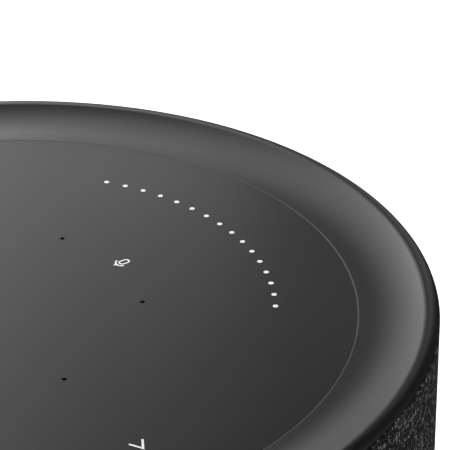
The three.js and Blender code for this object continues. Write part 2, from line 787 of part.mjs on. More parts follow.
const WINDOW_DEPTH = 20;
const BUTTON_SIDES = 16;
const POST_SIDES = 12;
const inletWindow = block(
  INLET_W + FIT * 2,
  WINDOW_DEPTH,
  inletZ - INLET_H / 2 - FIT,
  inletZ + INLET_H / 2 + FIT,
);
inletWindow.translate(0, plinthR, 0);
const buttonHole = sideways(
  drum(BUTTON_R + FIT, plinthInR - BREAK_THROUGH * 2, plinthR + BREAK_THROUGH * 2, BUTTON_SIDES),
  inletZ,
);

piece('base_housing', shaped(
  turned([
    [0, plinthTop],
    [plinthInR, plinthTop],
    [plinthInR, plateLow],
    [plinthR - PLINTH_CHAMFER, plateLow],
    [plinthR, plateLow + PLINTH_CHAMFER],
    [plinthR, plinthTop],
    [neckR, plinthTop],
    [neckR, deckZ],
    [0, deckZ],
  ]),
  around(drum(BASE_BOSS_R, baseBossLow, plinthTop + ROOT), BASE_SCREW_RING, THIRDS),
  [
    inletWindow,
    ...around(buttonHole, 0, [BUTTON_ANGLE]),
    ...around(
      drum(BIG_SHANK_R + FIT, baseBossLow - BREAK_THROUGH, plinthTop - ROOT),
      BASE_SCREW_RING,
      THIRDS,
    ),
  ],
), 'blackPlastic');

const grooveTop = FOOT_H + FIT;
const grooveIn = footRing - FOOT_W / 2 - FIT;
const grooveOut = footRing + FOOT_W / 2 + FIT;
const plateR = plinthInR - FIT;
const counterboreTop = plateLow + BIG_HEAD_H + FIT;
const PAD_W = 64;
const PAD_D = 44;
const PAD_H = 1.5;
const PAD_Y = 22;
const pad = block(PAD_W, PAD_D, plateTop - ROOT, plateTop + PAD_H);
pad.translate(0, PAD_Y, 0);

piece('base_plate', shaped(
  turned([
    [0, plateLow],
    [grooveIn, plateLow],
    [grooveIn, grooveTop],
    [grooveOut, grooveTop],
    [grooveOut, plateLow],
    [plateR, plateLow],
    [plateR, plateTop],
    [0, plateTop],
  ]),
  [pad],
  [
    ...around(drum(BIG_HEAD_R + FIT, plateLow - BREAK_THROUGH, counterboreTop, POST_SIDES), BASE_SCREW_RING, THIRDS),
    ...around(drum(BIG_SHANK_R + FIT, plateLow - BREAK_THROUGH, plateTop + BREAK_THROUGH), BASE_SCREW_RING, THIRDS),
  ],
), 'blackPlastic');

const footIn = footRing - FOOT_W / 2;
const footOut = footRing + FOOT_W / 2;
const FOOT_EDGE = 0.6;
piece('foot_ring', turned([
  [footIn + FOOT_EDGE, 0],
  [footOut - FOOT_EDGE, 0],
  [footOut, FOOT_EDGE],
  [footOut, FOOT_H],
  [footIn, FOOT_H],
  [footIn, FOOT_EDGE],
]), 'silicone');

around(
  screw(BIG_HEAD_R, BIG_HEAD_H - FIT, BIG_SHANK_R, plinthTop - counterboreTop - ROOT * 2, plateLow + FIT),
  BASE_SCREW_RING,
  THIRDS,
).forEach((geometry, i) => piece(`base_screw_${i + 1}`, geometry, 'steel'));

// Posts hold the enclosure over the plinth, and a cone spreads the woofer's sound.
const POST_R = 4;
const POST_RING = enclosureR - 8;
around(drum(POST_R, deckZ + FIT, floorLow - FIT, POST_SIDES), POST_RING, THIRDS)
  .forEach((geometry, i) => piece(`support_post_${i + 1}`, geometry, 'aluminium'));

const DEFLECTOR_R = WOOFER_R + 1;
const DEFLECTOR_CLEAR = 6.5; // under the enclosure's floor
const DEFLECTOR_H = SOUND_GAP - DEFLECTOR_CLEAR;
const DEFLECTOR_EDGE = 1.2;
const deflectorLow = deckZ + FIT;
piece('sound_deflector', turned([
  [0, deflectorLow],
  [DEFLECTOR_R, deflectorLow],
  [DEFLECTOR_R, deflectorLow + DEFLECTOR_EDGE],
  [DEFLECTOR_R * 0.6, deflectorLow + DEFLECTOR_H * 0.22],
  [DEFLECTOR_R * 0.3, deflectorLow + DEFLECTOR_H * 0.58],
  [DEFLECTOR_R * 0.12, deflectorLow + DEFLECTOR_H * 0.9],
  [0, deflectorLow + DEFLECTOR_H],
], DRIVER_SIDES), 'darkPlastic');

// ---------------------------------------------------------------- power inlet and button

const inletFront = Math.sqrt(plinthR ** 2 - (INLET_W / 2) ** 2) - FIT;
const inletBack = inletFront - INLET_DEPTH;
const INLET_FLOOR_T = 4;
const cavityFloor = inletBack + INLET_FLOOR_T;

// A rounded bar along +Y: half its width to each side of the middle, between two places.
function capsuleBar(width, height, from, to) {
  const half = height / 2;
  const outline = new THREE.Shape();
  outline.absarc(width / 2 - half, 0, half, -QUARTER, QUARTER, false);
  outline.absarc(half - width / 2, 0, half, QUARTER, 3 * QUARTER, false);
  const bar = new THREE.ExtrudeGeometry(outline, {
    depth: to - from,
    bevelEnabled: false,
    curveSegments: 5,
  });
  bar.rotateX(-QUARTER);
  bar.translate(0, from, inletZ);
  return bar;
}

const inletShell = new THREE.BoxGeometry(INLET_W, INLET_DEPTH, INLET_H);
inletShell.translate(0, (inletFront + inletBack) / 2, inletZ);
piece('power_inlet', shaped(
  inletShell,
  [],
  [capsuleBar(
    INLET_W - INLET_WALL * 2,
    INLET_H - INLET_WALL * 2 + 0.4,
    cavityFloor,
    inletFront + BREAK_THROUGH,
  )],
), 'darkPlastic');

const PIN_LENGTH = 9;
for (const [side, sign] of [['left', -1], ['right', 1]]) {
  const pin = new THREE.CylinderGeometry(PIN_R, PIN_R, PIN_LENGTH, POST_SIDES);
  pin.translate((sign * PIN_SPACING) / 2, cavityFloor + FIT + PIN_LENGTH / 2, inletZ);
  piece(`inlet_pin_${side}`, pin, 'brass');
}

const powerLow = plateTop + PAD_H + FIT;
const PAD_EDGE = 2; // the pad shows this far round its board
const TALL_H = 9;
const TRANSFORMER_W = 20;
const TRANSFORMER_D = 16;
const BULK_R = 3.5;
const transformer = block(TRANSFORMER_W, TRANSFORMER_D, powerLow + BOARD_T / 2, powerLow + TALL_H);
transformer.translate(-PAD_W / 4, PAD_Y, 0);
const bulkCapacitor = drum(BULK_R, powerLow + BOARD_T / 2, powerLow + TALL_H, POST_SIDES);
bulkCapacitor.translate(PAD_W / 5, PAD_Y, 0);
const powerSlab = block(PAD_W - PAD_EDGE * 2, PAD_D - PAD_EDGE * 2, powerLow, powerLow + BOARD_T);
powerSlab.translate(0, PAD_Y, 0);
piece('power_board', shaped(powerSlab, [transformer, bulkCapacitor], []), 'board');

// The pairing button works a small switch behind the plinth's wall.
const BUTTON_PROUD = 0.6;
const BUTTON_FLANGE_W = 1;
const BUTTON_FLANGE_T = 1.2;
const STEM_L = 4;
const PLUNGER_R = 1.5;
const PLUNGER_L = 3;
const BUTTON_EDGE = 0.3; // chamfer
const SWITCH_W = 6.2;
const SWITCH_T = 4;
const buttonFace = plinthR + BUTTON_PROUD;
const flangeOut = plinthInR * Math.cos(Math.PI / RING_SIDES) - FIT;
const stemEnd = flangeOut - BUTTON_FLANGE_T - STEM_L;
const plungerOut = stemEnd - FIT;
const switchFace = plungerOut - BUTTON_TRAVEL - FIT;

const backPanel = new THREE.Group();
backPanel.rotation.z = BUTTON_ANGLE;
hub.add(backPanel);

piece('pairing_button', sideways(turned([
  [0, stemEnd],
  [BUTTON_R / 2, stemEnd],
  [BUTTON_R / 2, flangeOut - BUTTON_FLANGE_T],
  [BUTTON_R + BUTTON_FLANGE_W, flangeOut - BUTTON_FLANGE_T],
  [BUTTON_R + BUTTON_FLANGE_W, flangeOut],
  [BUTTON_R, flangeOut],
  [BUTTON_R, buttonFace - BUTTON_EDGE],
  [BUTTON_R - BUTTON_EDGE, buttonFace],
  [0, buttonFace],
], BUTTON_SIDES), inletZ), 'darkPlastic', backPanel);

piece('switch_plunger', sideways(drum(PLUNGER_R, plungerOut - PLUNGER_L, plungerOut), inletZ), 'brass', backPanel);

const switchBody = block(SWITCH_W, SWITCH_W, switchFace - SWITCH_T, switchFace);
const switchBore = drum(
  PLUNGER_R + FIT,
  plungerOut - PLUNGER_L - BUTTON_TRAVEL - FIT,
  switchFace + BREAK_THROUGH,
);
piece('tact_switch', sideways(shaped(switchBody, [], [switchBore]), inletZ), 'darkPlastic', backPanel);

// ---------------------------------------------------------------- power lead inside the body

const LEAD_R = 1.2;
const LEAD_ANGLE = QUARTER * 0.55;
const leadOutR = (enclosureR + cageInR) / 2;
const leadLine = new THREE.CatmullRomCurve3([
  [enclosureR - 12, deckZ + LEAD_R + FIT],
  [enclosureR - 8, deckZ + 8],
  [leadOutR - 1.5, floorLow - 6],
  [leadOutR, floorLow + 4],
  [leadOutR, (floorLow + enclosureTop) / 2],
  [leadOutR, enclosureTop - 2],
  [leadOutR - 0.3, lidTop + 3],
  [enclosureR - 6, lidTop + 8],
  [MAIN_R - 4, mainTop + LEAD_R + FIT * 2],
].map(([radius, height]) => new THREE.Vector3(
  radius * Math.cos(LEAD_ANGLE),
  radius * Math.sin(LEAD_ANGLE),
  height,
)));
const leadSection = new THREE.Shape();
leadSection.absarc(0, 0, LEAD_R, 0, TURN, false);
piece('power_lead', new THREE.ExtrudeGeometry(leadSection, {
  steps: 30,
  curveSegments: 3,
  extrudePath: leadLine,
}), 'silicone');

export default hub;
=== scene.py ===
import json
import math

import bmesh
import bpy
from mathutils import Matrix, Vector


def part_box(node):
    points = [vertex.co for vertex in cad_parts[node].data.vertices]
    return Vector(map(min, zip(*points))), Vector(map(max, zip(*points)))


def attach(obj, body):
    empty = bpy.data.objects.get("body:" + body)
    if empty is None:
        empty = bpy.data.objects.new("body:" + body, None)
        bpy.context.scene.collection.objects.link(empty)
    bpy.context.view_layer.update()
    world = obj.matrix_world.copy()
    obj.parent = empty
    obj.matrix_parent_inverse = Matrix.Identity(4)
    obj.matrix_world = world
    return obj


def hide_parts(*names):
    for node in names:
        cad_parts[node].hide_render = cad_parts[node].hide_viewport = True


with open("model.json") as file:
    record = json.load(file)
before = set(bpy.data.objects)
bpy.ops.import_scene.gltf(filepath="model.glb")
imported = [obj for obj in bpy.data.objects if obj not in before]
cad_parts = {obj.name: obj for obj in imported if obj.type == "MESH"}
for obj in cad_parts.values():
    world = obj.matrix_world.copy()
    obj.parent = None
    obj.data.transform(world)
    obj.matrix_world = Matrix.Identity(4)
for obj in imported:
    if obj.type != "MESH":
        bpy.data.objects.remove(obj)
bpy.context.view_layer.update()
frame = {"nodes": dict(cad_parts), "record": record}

scene = bpy.context.scene

# ---------------------------------------------------------------- camera
# A long lens looks down across the touch panel from the user's right, a little off the
# panel's middle. Its place is measured from the middle of the panel's face.

PANEL_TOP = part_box("touch_panel")[1].z
EYE_DISTANCE = 0.4706
EYE_TURN = math.radians(63.3)  # round the hub, from the front towards the user's right
EYE_RISE = math.radians(30.66)
AIM_ASIDE = math.radians(6.90)  # the aim passes the middle on this side
AIM_DOWN = math.radians(28.85)
ROLL = math.radians(-0.609)
SENSOR = 36.0
FIELD_OF_VIEW = math.radians(11.036)

eye_heading = EYE_TURN - math.pi / 2
eye = Vector((
    math.cos(EYE_RISE) * math.cos(eye_heading),
    math.cos(EYE_RISE) * math.sin(eye_heading),
    math.sin(EYE_RISE),
)) * EYE_DISTANCE
eye.z += PANEL_TOP
aim_heading = eye_heading + math.pi - AIM_ASIDE
aim = Vector((
    math.cos(AIM_DOWN) * math.cos(aim_heading),
    math.cos(AIM_DOWN) * math.sin(aim_heading),
    -math.sin(AIM_DOWN),
))
lens = bpy.data.cameras.new("studio_lens")
lens.sensor_width = SENSOR
lens.lens = SENSOR / 2 / math.tan(FIELD_OF_VIEW / 2)
lens.clip_start = 0.01
lens.clip_end = 20
camera = bpy.data.objects.new("studio_camera", lens)
scene.collection.objects.link(camera)
camera.rotation_mode = "QUATERNION"
camera.location = eye
roll = Matrix.Rotation(ROLL, 4, "Z").to_quaternion()
camera.rotation_quaternion = aim.to_track_quat("-Z", "Y") @ roll
scene.camera = camera

# ---------------------------------------------------------------- floor and studio light
# The hub stands on a plain pale sweep that glows white, as in a product studio, with its glow
# dimmed round the hub as a painted contact shadow. The panel, the rim and the side each have
# softboxes of their own, and flags keep them off the rest.

FLOOR_SIZE = 14.0
FLOOR_TONE = (0.86, 0.86, 0.86, 1)
FLOOR_ROUGHNESS = 0.9
SHADE_FROM = 0.07  # the floor's glow, dimmed round the hub as a painted contact shadow, rises from here, beside the hub's middle, and is full from here outwards
SHADE_TO = 0.17  # and is full from here outwards
SHADE_GLOW = 0.35
FULL_GLOW = 1.0
ROOM_GLOW = 0.02
WHITE = (1, 1, 1, 1)

sweep = bmesh.new()
bmesh.ops.create_grid(sweep, x_segments=8, y_segments=8, size=FLOOR_SIZE / 2)
floor_mesh = bpy.data.meshes.new("studio_floor")
sweep.to_mesh(floor_mesh)
sweep.free()
studio_floor = bpy.data.objects.new("studio_floor", floor_mesh)
scene.collection.objects.link(studio_floor)
floor_finish = bpy.data.materials.new("pale_sweep")
floor_finish.use_nodes = True
floor_shader = floor_finish.node_tree.nodes["Principled BSDF"]
floor_shader.inputs["Base Color"].default_value = FLOOR_TONE
floor_shader.inputs["Roughness"].default_value = FLOOR_ROUGHNESS
floor_shader.inputs["Emission Color"].default_value = WHITE
floor_place = floor_finish.node_tree.nodes.new("ShaderNodeTexCoord")
floor_reach = floor_finish.node_tree.nodes.new("ShaderNodeVectorMath")
floor_reach.operation = "LENGTH"
# Painted contact shadow: the floor's emission is weaker near the hub's middle and full further
# out.
floor_glow_and_painted_shadow = floor_finish.node_tree.nodes.new("ShaderNodeMapRange")
floor_glow_and_painted_shadow.interpolation_type = "SMOOTHSTEP"
floor_glow_and_painted_shadow.inputs["From Min"].default_value = SHADE_FROM
floor_glow_and_painted_shadow.inputs["From Max"].default_value = SHADE_TO
floor_glow_and_painted_shadow.inputs["To Min"].default_value = SHADE_GLOW
floor_glow_and_painted_shadow.inputs["To Max"].default_value = FULL_GLOW
floor_links = floor_finish.node_tree.links
floor_links.new(floor_place.outputs["Object"], floor_reach.inputs[0])
floor_links.new(floor_reach.outputs["Value"], floor_glow_and_painted_shadow.inputs["Value"])
floor_links.new(floor_glow_and_painted_shadow.outputs["Result"], floor_shader.inputs["Emission Strength"])
floor_mesh.materials.append(floor_finish)
studio_floor.visible_glossy = False

# The backdrop closes the sweep all round. It is seen, but it gives the hub no light.
BACKDROP_RADIUS = 6.5
BACKDROP_HEIGHT = 9.0
wall = bmesh.new()
bmesh.ops.create_cone(
    wall, cap_ends=False, segments=96, radius1=BACKDROP_RADIUS, radius2=BACKDROP_RADIUS,
    depth=BACKDROP_HEIGHT, matrix=Matrix.Translation((0, 0, BACKDROP_HEIGHT / 2)),
)
bmesh.ops.reverse_faces(wall, faces=wall.faces)
wall_mesh = bpy.data.meshes.new("studio_backdrop")
wall.to_mesh(wall_mesh)
wall.free()
studio_backdrop = bpy.data.objects.new("studio_backdrop", wall_mesh)
scene.collection.objects.link(studio_backdrop)
backdrop_finish = bpy.data.materials.new("pale_backdrop")
backdrop_finish.use_nodes = True
backdrop_shader = backdrop_finish.node_tree.nodes["Principled BSDF"]
backdrop_shader.inputs["Base Color"].default_value = FLOOR_TONE
backdrop_shader.inputs["Roughness"].default_value = FLOOR_ROUGHNESS
backdrop_shader.inputs["Emission Color"].default_value = WHITE
backdrop_shader.inputs["Emission Strength"].default_value = FULL_GLOW
wall_mesh.materials.append(backdrop_finish)
studio_backdrop.visible_diffuse = False
studio_backdrop.visible_glossy = False
studio_backdrop.visible_shadow = False

room = bpy.data.worlds.new("studio_room")
room.use_nodes = True
room.node_tree.nodes["Background"].inputs["Color"].default_value = WHITE
room.node_tree.nodes["Background"].inputs["Strength"].default_value = ROOM_GLOW
scene.world = room
scene.view_settings.view_transform = "Standard"
scene.view_settings.look = "None"


panel_lit = bpy.data.collections.new("lit_panel")
rim_lit = bpy.data.collections.new("lit_rim")
side_lit = bpy.data.collections.new("lit_side")


def softbox(name, heading, rise, distance, width, height, power, lit):
    """A softbox that faces the panel, heading in degrees round from the user's right."""
    box = bpy.data.lights.new(name, "AREA")
    box.shape = "RECTANGLE"
    box.size = width
    box.size_y = height
    box.energy = power
    turn, tilt = math.radians(heading), math.radians(rise)
    way = Vector((
        math.cos(tilt) * math.cos(turn), math.cos(tilt) * math.sin(turn), math.sin(tilt),
    ))
    lamp = bpy.data.objects.new(name, box)
    lamp.location = way * distance + Vector((0, 0, PANEL_TOP))
    lamp.rotation_mode = "QUATERNION"
    lamp.rotation_quaternion = (-way).to_track_quat("-Z", "Y")
    lamp.visible_camera = False
    lamp.light_linking.receiver_collection = lit
    scene.collection.objects.link(lamp)
    return lamp


def flag_off(piece, lit):
    """Keeps the side's softboxes off a piece of the top, which has softboxes of its own."""
    lit.objects.link(piece)
    side_lit.objects.link(piece)
    side_lit.collection_objects[-1].light_linking.link_state = "EXCLUDE"


# Each softbox: its heading and rise, distance, width and height, and power.
SOFTBOXES = (
    (panel_lit, (
        ("panel_key", 168, 26, 0.5, 0.192, 0.157, 0.405),
        ("panel_left", 180, 44, 0.5, 0.192, 0.157, 0.272),
        ("panel_far", 120, 26, 0.5, 0.192, 0.157, 0.123),
        ("panel_back", 144, 26, 0.25, 0.096, 0.079, 0.0166),
        ("panel_back_strip", 144, 8, 0.25, 0.106, 0.079, 0.056),
        ("panel_back_high", 150, 44, 0.25, 0.096, 0.079, 0.0073),
    )),
    (rim_lit, (
        ("rim_key", 168, 26, 0.5, 0.192, 0.157, 0.254),
        ("rim_key_near", 168, 26, 0.25, 0.096, 0.079, 0.171),
        ("rim_left_strip", 168, 8, 0.5, 0.212, 0.157, 0.223),
        ("rim_back", 144, 26, 0.25, 0.096, 0.079, 0.0461),
        ("rim_back_high", 150, 44, 0.25, 0.096, 0.079, 0.0453),
        ("rim_far", 120, 26, 0.5, 0.192, 0.157, 0.088),
        ("rim_far_strip", 120, 8, 0.5, 0.212, 0.157, 0.0486),
        ("rim_right_strip", 24, 8, 0.5, 0.212, 0.157, 0.62),
    )),
    (side_lit, (
        ("side_key", 168, 26, 0.5, 0.19, 0.157, 0.41),
        ("side_left", 180, 44, 0.5, 0.19, 0.157, 0.29),
        ("side_high", 180, 62, 0.5, 0.19, 0.157, 0.146),
        ("side_far_strip", 120, 8, 0.25, 0.105, 0.079, 0.087),
        ("side_front_strip", 252, 8, 0.5, 0.84, 0.157, 1.7),
        ("side_right", 20, 26, 0.5, 0.192, 0.157, 0.06),
        ("side_near_strip", 222, 8, 0.25, 0.15, 0.079, 0.55),
    )),
)
for lit, boxes in SOFTBOXES:
    for box in boxes:
        softbox(*box, lit)

# ---------------------------------------------------------------- foot ring
# A moulded silicone ring in the base plate's groove. It is the only piece that touches the
# table, and its lower edges are rounded.

FULL_TURN = 2 * math.pi
SMOOTH_STEPS = 256  # facets round the large turned pieces
SHARP_EDGE = math.radians(35)


def add_piece(name, form, body, stands_for=(), sharp=SHARP_EDGE):
    """Makes a finished form a piece: it rides a body and may replace CAD nodes."""
    mesh = bpy.data.meshes.new(name)
    form.to_mesh(mesh)
    form.free()
    mesh.shade_smooth()
    mesh.set_sharp_from_angle(angle=sharp)
    made = bpy.data.objects.new(name, mesh)
    scene.collection.objects.link(made)
    # Large faces keep their own direction, so that only the rounded edges beside them bend.
    weigh = made.modifiers.new("large_faces_stay_flat", "WEIGHTED_NORMAL")
    weigh.keep_sharp = True
    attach(made, body)
    if stands_for:
        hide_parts(*stands_for)
    return made


def turn_outline(outline, steps=SMOOTH_STEPS, closed=True):
    """A form turned about Z from an outline of (radius, height) points."""
    form = bmesh.new()
    points = [form.verts.new((radius, 0, height)) for radius, height in outline]
    ends = points[1:] + points[:1] if closed else points[1:]
    edges = [form.edges.new(pair) for pair in zip(points, ends)]
    bmesh.ops.spin(
        form, geom=points + edges, cent=(0, 0, 0), axis=(0, 0, 1),
        angle=FULL_TURN, steps=steps, use_merge=True,
    )
    bmesh.ops.remove_doubles(form, verts=form.verts, dist=1e-6)
    bmesh.ops.recalc_face_normals(form, faces=form.faces)
    return form


def arc(radius_at, height_at, radius, start, end, steps):
    """Outline points round an arc, both ends included, angles in degrees from outwards."""
    angles = [math.radians(start + (end - start) * i / steps) for i in range(steps + 1)]
    return [(radius_at + radius * math.cos(a), height_at + radius * math.sin(a)) for a in angles]


PLASTIC_IOR = 1.49
FLOW_SCALE = 38  # flow marks in the melt, per metre
FLOW_GLOSS = 0.03  # how far they change the gloss, each way


def moulded_finish(name, tone, roughness, grain=0.0006, depth=0.02, shading=0.12):
    """Moulded plastic or rubber: a fine grain in the tool's face, faint flow in tone and gloss."""
    finish = bpy.data.materials.new(name)
    finish.use_nodes = True
    nodes, links = finish.node_tree.nodes, finish.node_tree.links
    shader = nodes["Principled BSDF"]
    shader.inputs["IOR"].default_value = PLASTIC_IOR
    place = nodes.new("ShaderNodeTexCoord")
    flow = nodes.new("ShaderNodeTexNoise")
    flow.inputs["Scale"].default_value = FLOW_SCALE
    flow.inputs["Detail"].default_value = 5
    links.new(place.outputs["Object"], flow.inputs["Vector"])
    colour = nodes.new("ShaderNodeValToRGB")
    colour.color_ramp.elements[0].position = 0.3
    colour.color_ramp.elements[1].position = 0.7
    colour.color_ramp.elements[0].color = [c * (1 - shading) for c in tone] + [1]
    colour.color_ramp.elements[1].color = [c * (1 + shading) for c in tone] + [1]
    links.new(flow.outputs["Fac"], colour.inputs["Fac"])
    links.new(colour.outputs["Color"], shader.inputs["Base Color"])
    gloss = nodes.new("ShaderNodeMapRange")
    gloss.inputs["To Min"].default_value = roughness - FLOW_GLOSS
    gloss.inputs["To Max"].default_value = roughness + FLOW_GLOSS
    links.new(flow.outputs["Fac"], gloss.inputs["Value"])
    links.new(gloss.outputs["Result"], shader.inputs["Roughness"])
    spark = nodes.new("ShaderNodeTexNoise")
    spark.inputs["Scale"].default_value = 1 / grain
    spark.inputs["Detail"].default_value = 2
    links.new(place.outputs["Object"], spark.inputs["Vector"])
    bump = nodes.new("ShaderNodeBump")
    bump.inputs["Strength"].default_value = depth
    bump.inputs["Distance"].default_value = grain
    links.new(spark.outputs["Fac"], bump.inputs["Height"])
    links.new(bump.outputs["Normal"], shader.inputs["Normal"])
    return finish


def give(piece, finish):
    """The piece's only material."""
    piece.data.materials.clear()
    piece.data.materials.append(finish)
    return piece


STAIN_SCALE = 160


def metal_finish(name, tone, roughness):
    """Plain or plated metal, with faint stains in its tone and gloss."""
    finish = bpy.data.materials.new(name)
    finish.use_nodes = True
    nodes, links = finish.node_tree.nodes, finish.node_tree.links
    shader = nodes["Principled BSDF"]
    shader.inputs["Metallic"].default_value = 1.0
    place = nodes.new("ShaderNodeTexCoord")
    stain = nodes.new("ShaderNodeTexNoise")
    stain.inputs["Scale"].default_value = STAIN_SCALE
    stain.inputs["Detail"].default_value = 4
    links.new(place.outputs["Object"], stain.inputs["Vector"])
    colour = nodes.new("ShaderNodeValToRGB")
    colour.color_ramp.elements[0].color = [c * 0.85 for c in tone] + [1]
    colour.color_ramp.elements[1].color = [min(c * 1.1, 1) for c in tone] + [1]
    links.new(stain.outputs["Fac"], colour.inputs["Fac"])
    links.new(colour.outputs["Color"], shader.inputs["Base Color"])
    gloss = nodes.new("ShaderNodeMapRange")
    gloss.inputs["To Min"].default_value = roughness - 0.08
    gloss.inputs["To Max"].default_value = roughness + 0.1
    links.new(stain.outputs["Fac"], gloss.inputs["Value"])
    links.new(gloss.outputs["Result"], shader.inputs["Roughness"])
    return finish


FOOT_TONE = (0.012, 0.012, 0.0125)
FOOT_ROUND = 0.0008
FOOT_WIDTH = 0.008

foot_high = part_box("foot_ring")[1]
foot_out = foot_high.x
foot_in = foot_out - FOOT_WIDTH
foot_ring = add_piece("silicone_foot", turn_outline(
    [(foot_in, foot_high.z)]
    + arc(foot_in + FOOT_ROUND, FOOT_ROUND, FOOT_ROUND, 180, 270, 4)
    + arc(foot_out - FOOT_ROUND, FOOT_ROUND, FOOT_ROUND, 270, 360, 4)
    + [(foot_out, foot_high.z)],
), "shell", ["foot_ring"])
give(foot_ring, moulded_finish("matte_silicone", FOOT_TONE, 0.75, grain=0.0004, depth=0.1))

# ---------------------------------------------------------------- plinth and base plate
# The plinth is one injection-moulded piece with a rounded lower edge. A window at the back takes
# the inlet and a round hole the button. The base plate closes it from below with three screws.

PLINTH_TONE = (0.017, 0.017, 0.0175)
PLINTH_ROUND = 0.0012
PLINTH_WALL = 0.0025
NECK_ROUND = 0.0004
CAGE_WALL = 0.0018
FIT = 0.0003  # gap between pieces that touch or slide
CUT_ROOM = 0.001  # how far a cutting form reaches past the piece
WINDOW_REACH = 0.010
BUTTON_BORE = 0.0033
BORE_DEEP = 0.006
BORE_PROUD = 0.002

plinth_low, plinth_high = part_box("base_housing")
plate_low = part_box("base_plate")[0]
inlet_low, inlet_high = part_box("power_inlet")
plinth_radius = plinth_high.x
neck_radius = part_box("grille_cage")[1].x - CAGE_WALL - FIT
deck = plinth_high.z
plinth_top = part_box("grille_cage")[0].z - FIT
inlet_height = (inlet_low.z + inlet_high.z) / 2
button_middle = (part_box("pairing_button")[0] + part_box("pairing_button")[1]) / 2
button_turn = math.atan2(button_middle.y, button_middle.x)


def drill(form, tool_form):
    """Cuts one form out of another. Both are used up, and the cut form comes back."""
    blank, tool = (
        bpy.data.objects.new(name, bpy.data.meshes.new(name)) for name in ("blank", "drill")
    )
    for thing, shape in ((blank, form), (tool, tool_form)):
        shape.to_mesh(thing.data)
        shape.free()
        scene.collection.objects.link(thing)
    cut = blank.modifiers.new("cut", "BOOLEAN")
    cut.operation = "DIFFERENCE"
    cut.solver = "EXACT"
    cut.object = tool
    drilled = bmesh.new()
    drilled.from_object(blank, bpy.context.evaluated_depsgraph_get())
    for thing in (blank, tool):
        mesh = thing.data
        bpy.data.objects.remove(thing)
        bpy.data.meshes.remove(mesh)
    return drilled


def rods(places, radius, low, high, segments=24, form=None):
    """Upright round rods in one form."""
    form = form or bmesh.new()
    for place in places:
        middle = Matrix.Translation((place.x, place.y, (low + high) / 2))
        bmesh.ops.create_cone(
            form, cap_ends=True, segments=segments, radius1=radius, radius2=radius,
            depth=high - low, matrix=middle,
        )
    return form


def block(low, high, form=None):
    """A box between two corners."""
    form = form or bmesh.new()
    size = [high[i] - low[i] for i in range(3)]
    middle = Vector([(high[i] + low[i]) / 2 for i in range(3)])
    place = Matrix.Translation(middle) @ Matrix.Diagonal((*size, 1))
    bmesh.ops.create_cube(form, size=1, matrix=place)
    return form


def rod_outwards(turn, height, radius, start, end, segments=32, form=None):
    """A round rod that points straight out of the hub's side."""
    form = form or bmesh.new()
    place = (
        Matrix.Rotation(turn, 4, "Z") @ Matrix.Translation(((start + end) / 2, 0, height))
        @ Matrix.Rotation(math.pi / 2, 4, "Y")
    )
    bmesh.ops.create_cone(
        form, cap_ends=True, segments=segments, radius1=radius, radius2=radius,
        depth=end - start, matrix=place,
    )
    return form


plinth_form = turn_outline(
    [(0, plinth_top), (plinth_radius - PLINTH_WALL, plinth_top),
     (plinth_radius - PLINTH_WALL, plinth_low.z)]
    + arc(plinth_radius - PLINTH_ROUND, plinth_low.z + PLINTH_ROUND, PLINTH_ROUND, 270, 360, 6)
    + arc(plinth_radius - NECK_ROUND, plinth_top - NECK_ROUND, NECK_ROUND, 0, 90, 3)
    + [(neck_radius, plinth_top), (neck_radius, deck), (0, deck)],
    closed=False,
)
window = block(
    (inlet_low.x - FIT, plinth_radius - WINDOW_REACH, inlet_low.z - FIT),
    (inlet_high.x + FIT, plinth_radius + WINDOW_REACH, inlet_high.z + FIT),
)
openings = rod_outwards(
    button_turn, inlet_height, BUTTON_BORE, plinth_radius - BORE_DEEP, plinth_radius + BORE_PROUD,
    segments=48, form=window,
)
plinth = add_piece(
    "plinth", drill(plinth_form, openings), "shell", ["base_housing"],
)
plinth_finish = moulded_finish("plinth_black", PLINTH_TONE, 0.42, grain=0.0005, depth=0.05)
give(plinth, plinth_finish)

PLATE_THICK = 0.003
PLATE_EDGE = 0.0003
WELL_RADIUS = 0.0033
HOLE_RADIUS = 0.0017
SCREW_SEAT = 0.002  # the well's roof, above the underside of the screw's head
plate_top = plate_low.z + PLATE_THICK
SCREWS = ("base_screw_1", "base_screw_2", "base_screw_3")
screw_boxes = [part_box(name) for name in SCREWS]
plate_out = plinth_radius - PLINTH_WALL - FIT
groove_top = foot_high.z + FIT
plate_form = turn_outline(
    [(0, plate_low.z), (foot_in - FIT, plate_low.z), (foot_in - FIT, groove_top),
     (foot_out + FIT, groove_top), (foot_out + FIT, plate_low.z)]
    + arc(plate_out - PLATE_EDGE, plate_low.z + PLATE_EDGE, PLATE_EDGE, 270, 360, 3)
    + [(plate_out, plate_top), (0, plate_top)],
    closed=False,
)
wells = bmesh.new()
for screw_low, screw_high in screw_boxes:
    middle = (screw_low + screw_high) / 2
    rods([middle], WELL_RADIUS, plate_low.z - CUT_ROOM, screw_low.z + SCREW_SEAT, 40, wells)
    rods([middle], HOLE_RADIUS, plate_low.z - CUT_ROOM, plate_top + CUT_ROOM, 24, wells)
base_plate = add_piece(
    "closing_plate", drill(plate_form, wells), "shell", ["base_plate"],
)
give(base_plate, plinth_finish)

# Each screw is a pan head with a six-sided socket, turned up into a boss of the plinth.

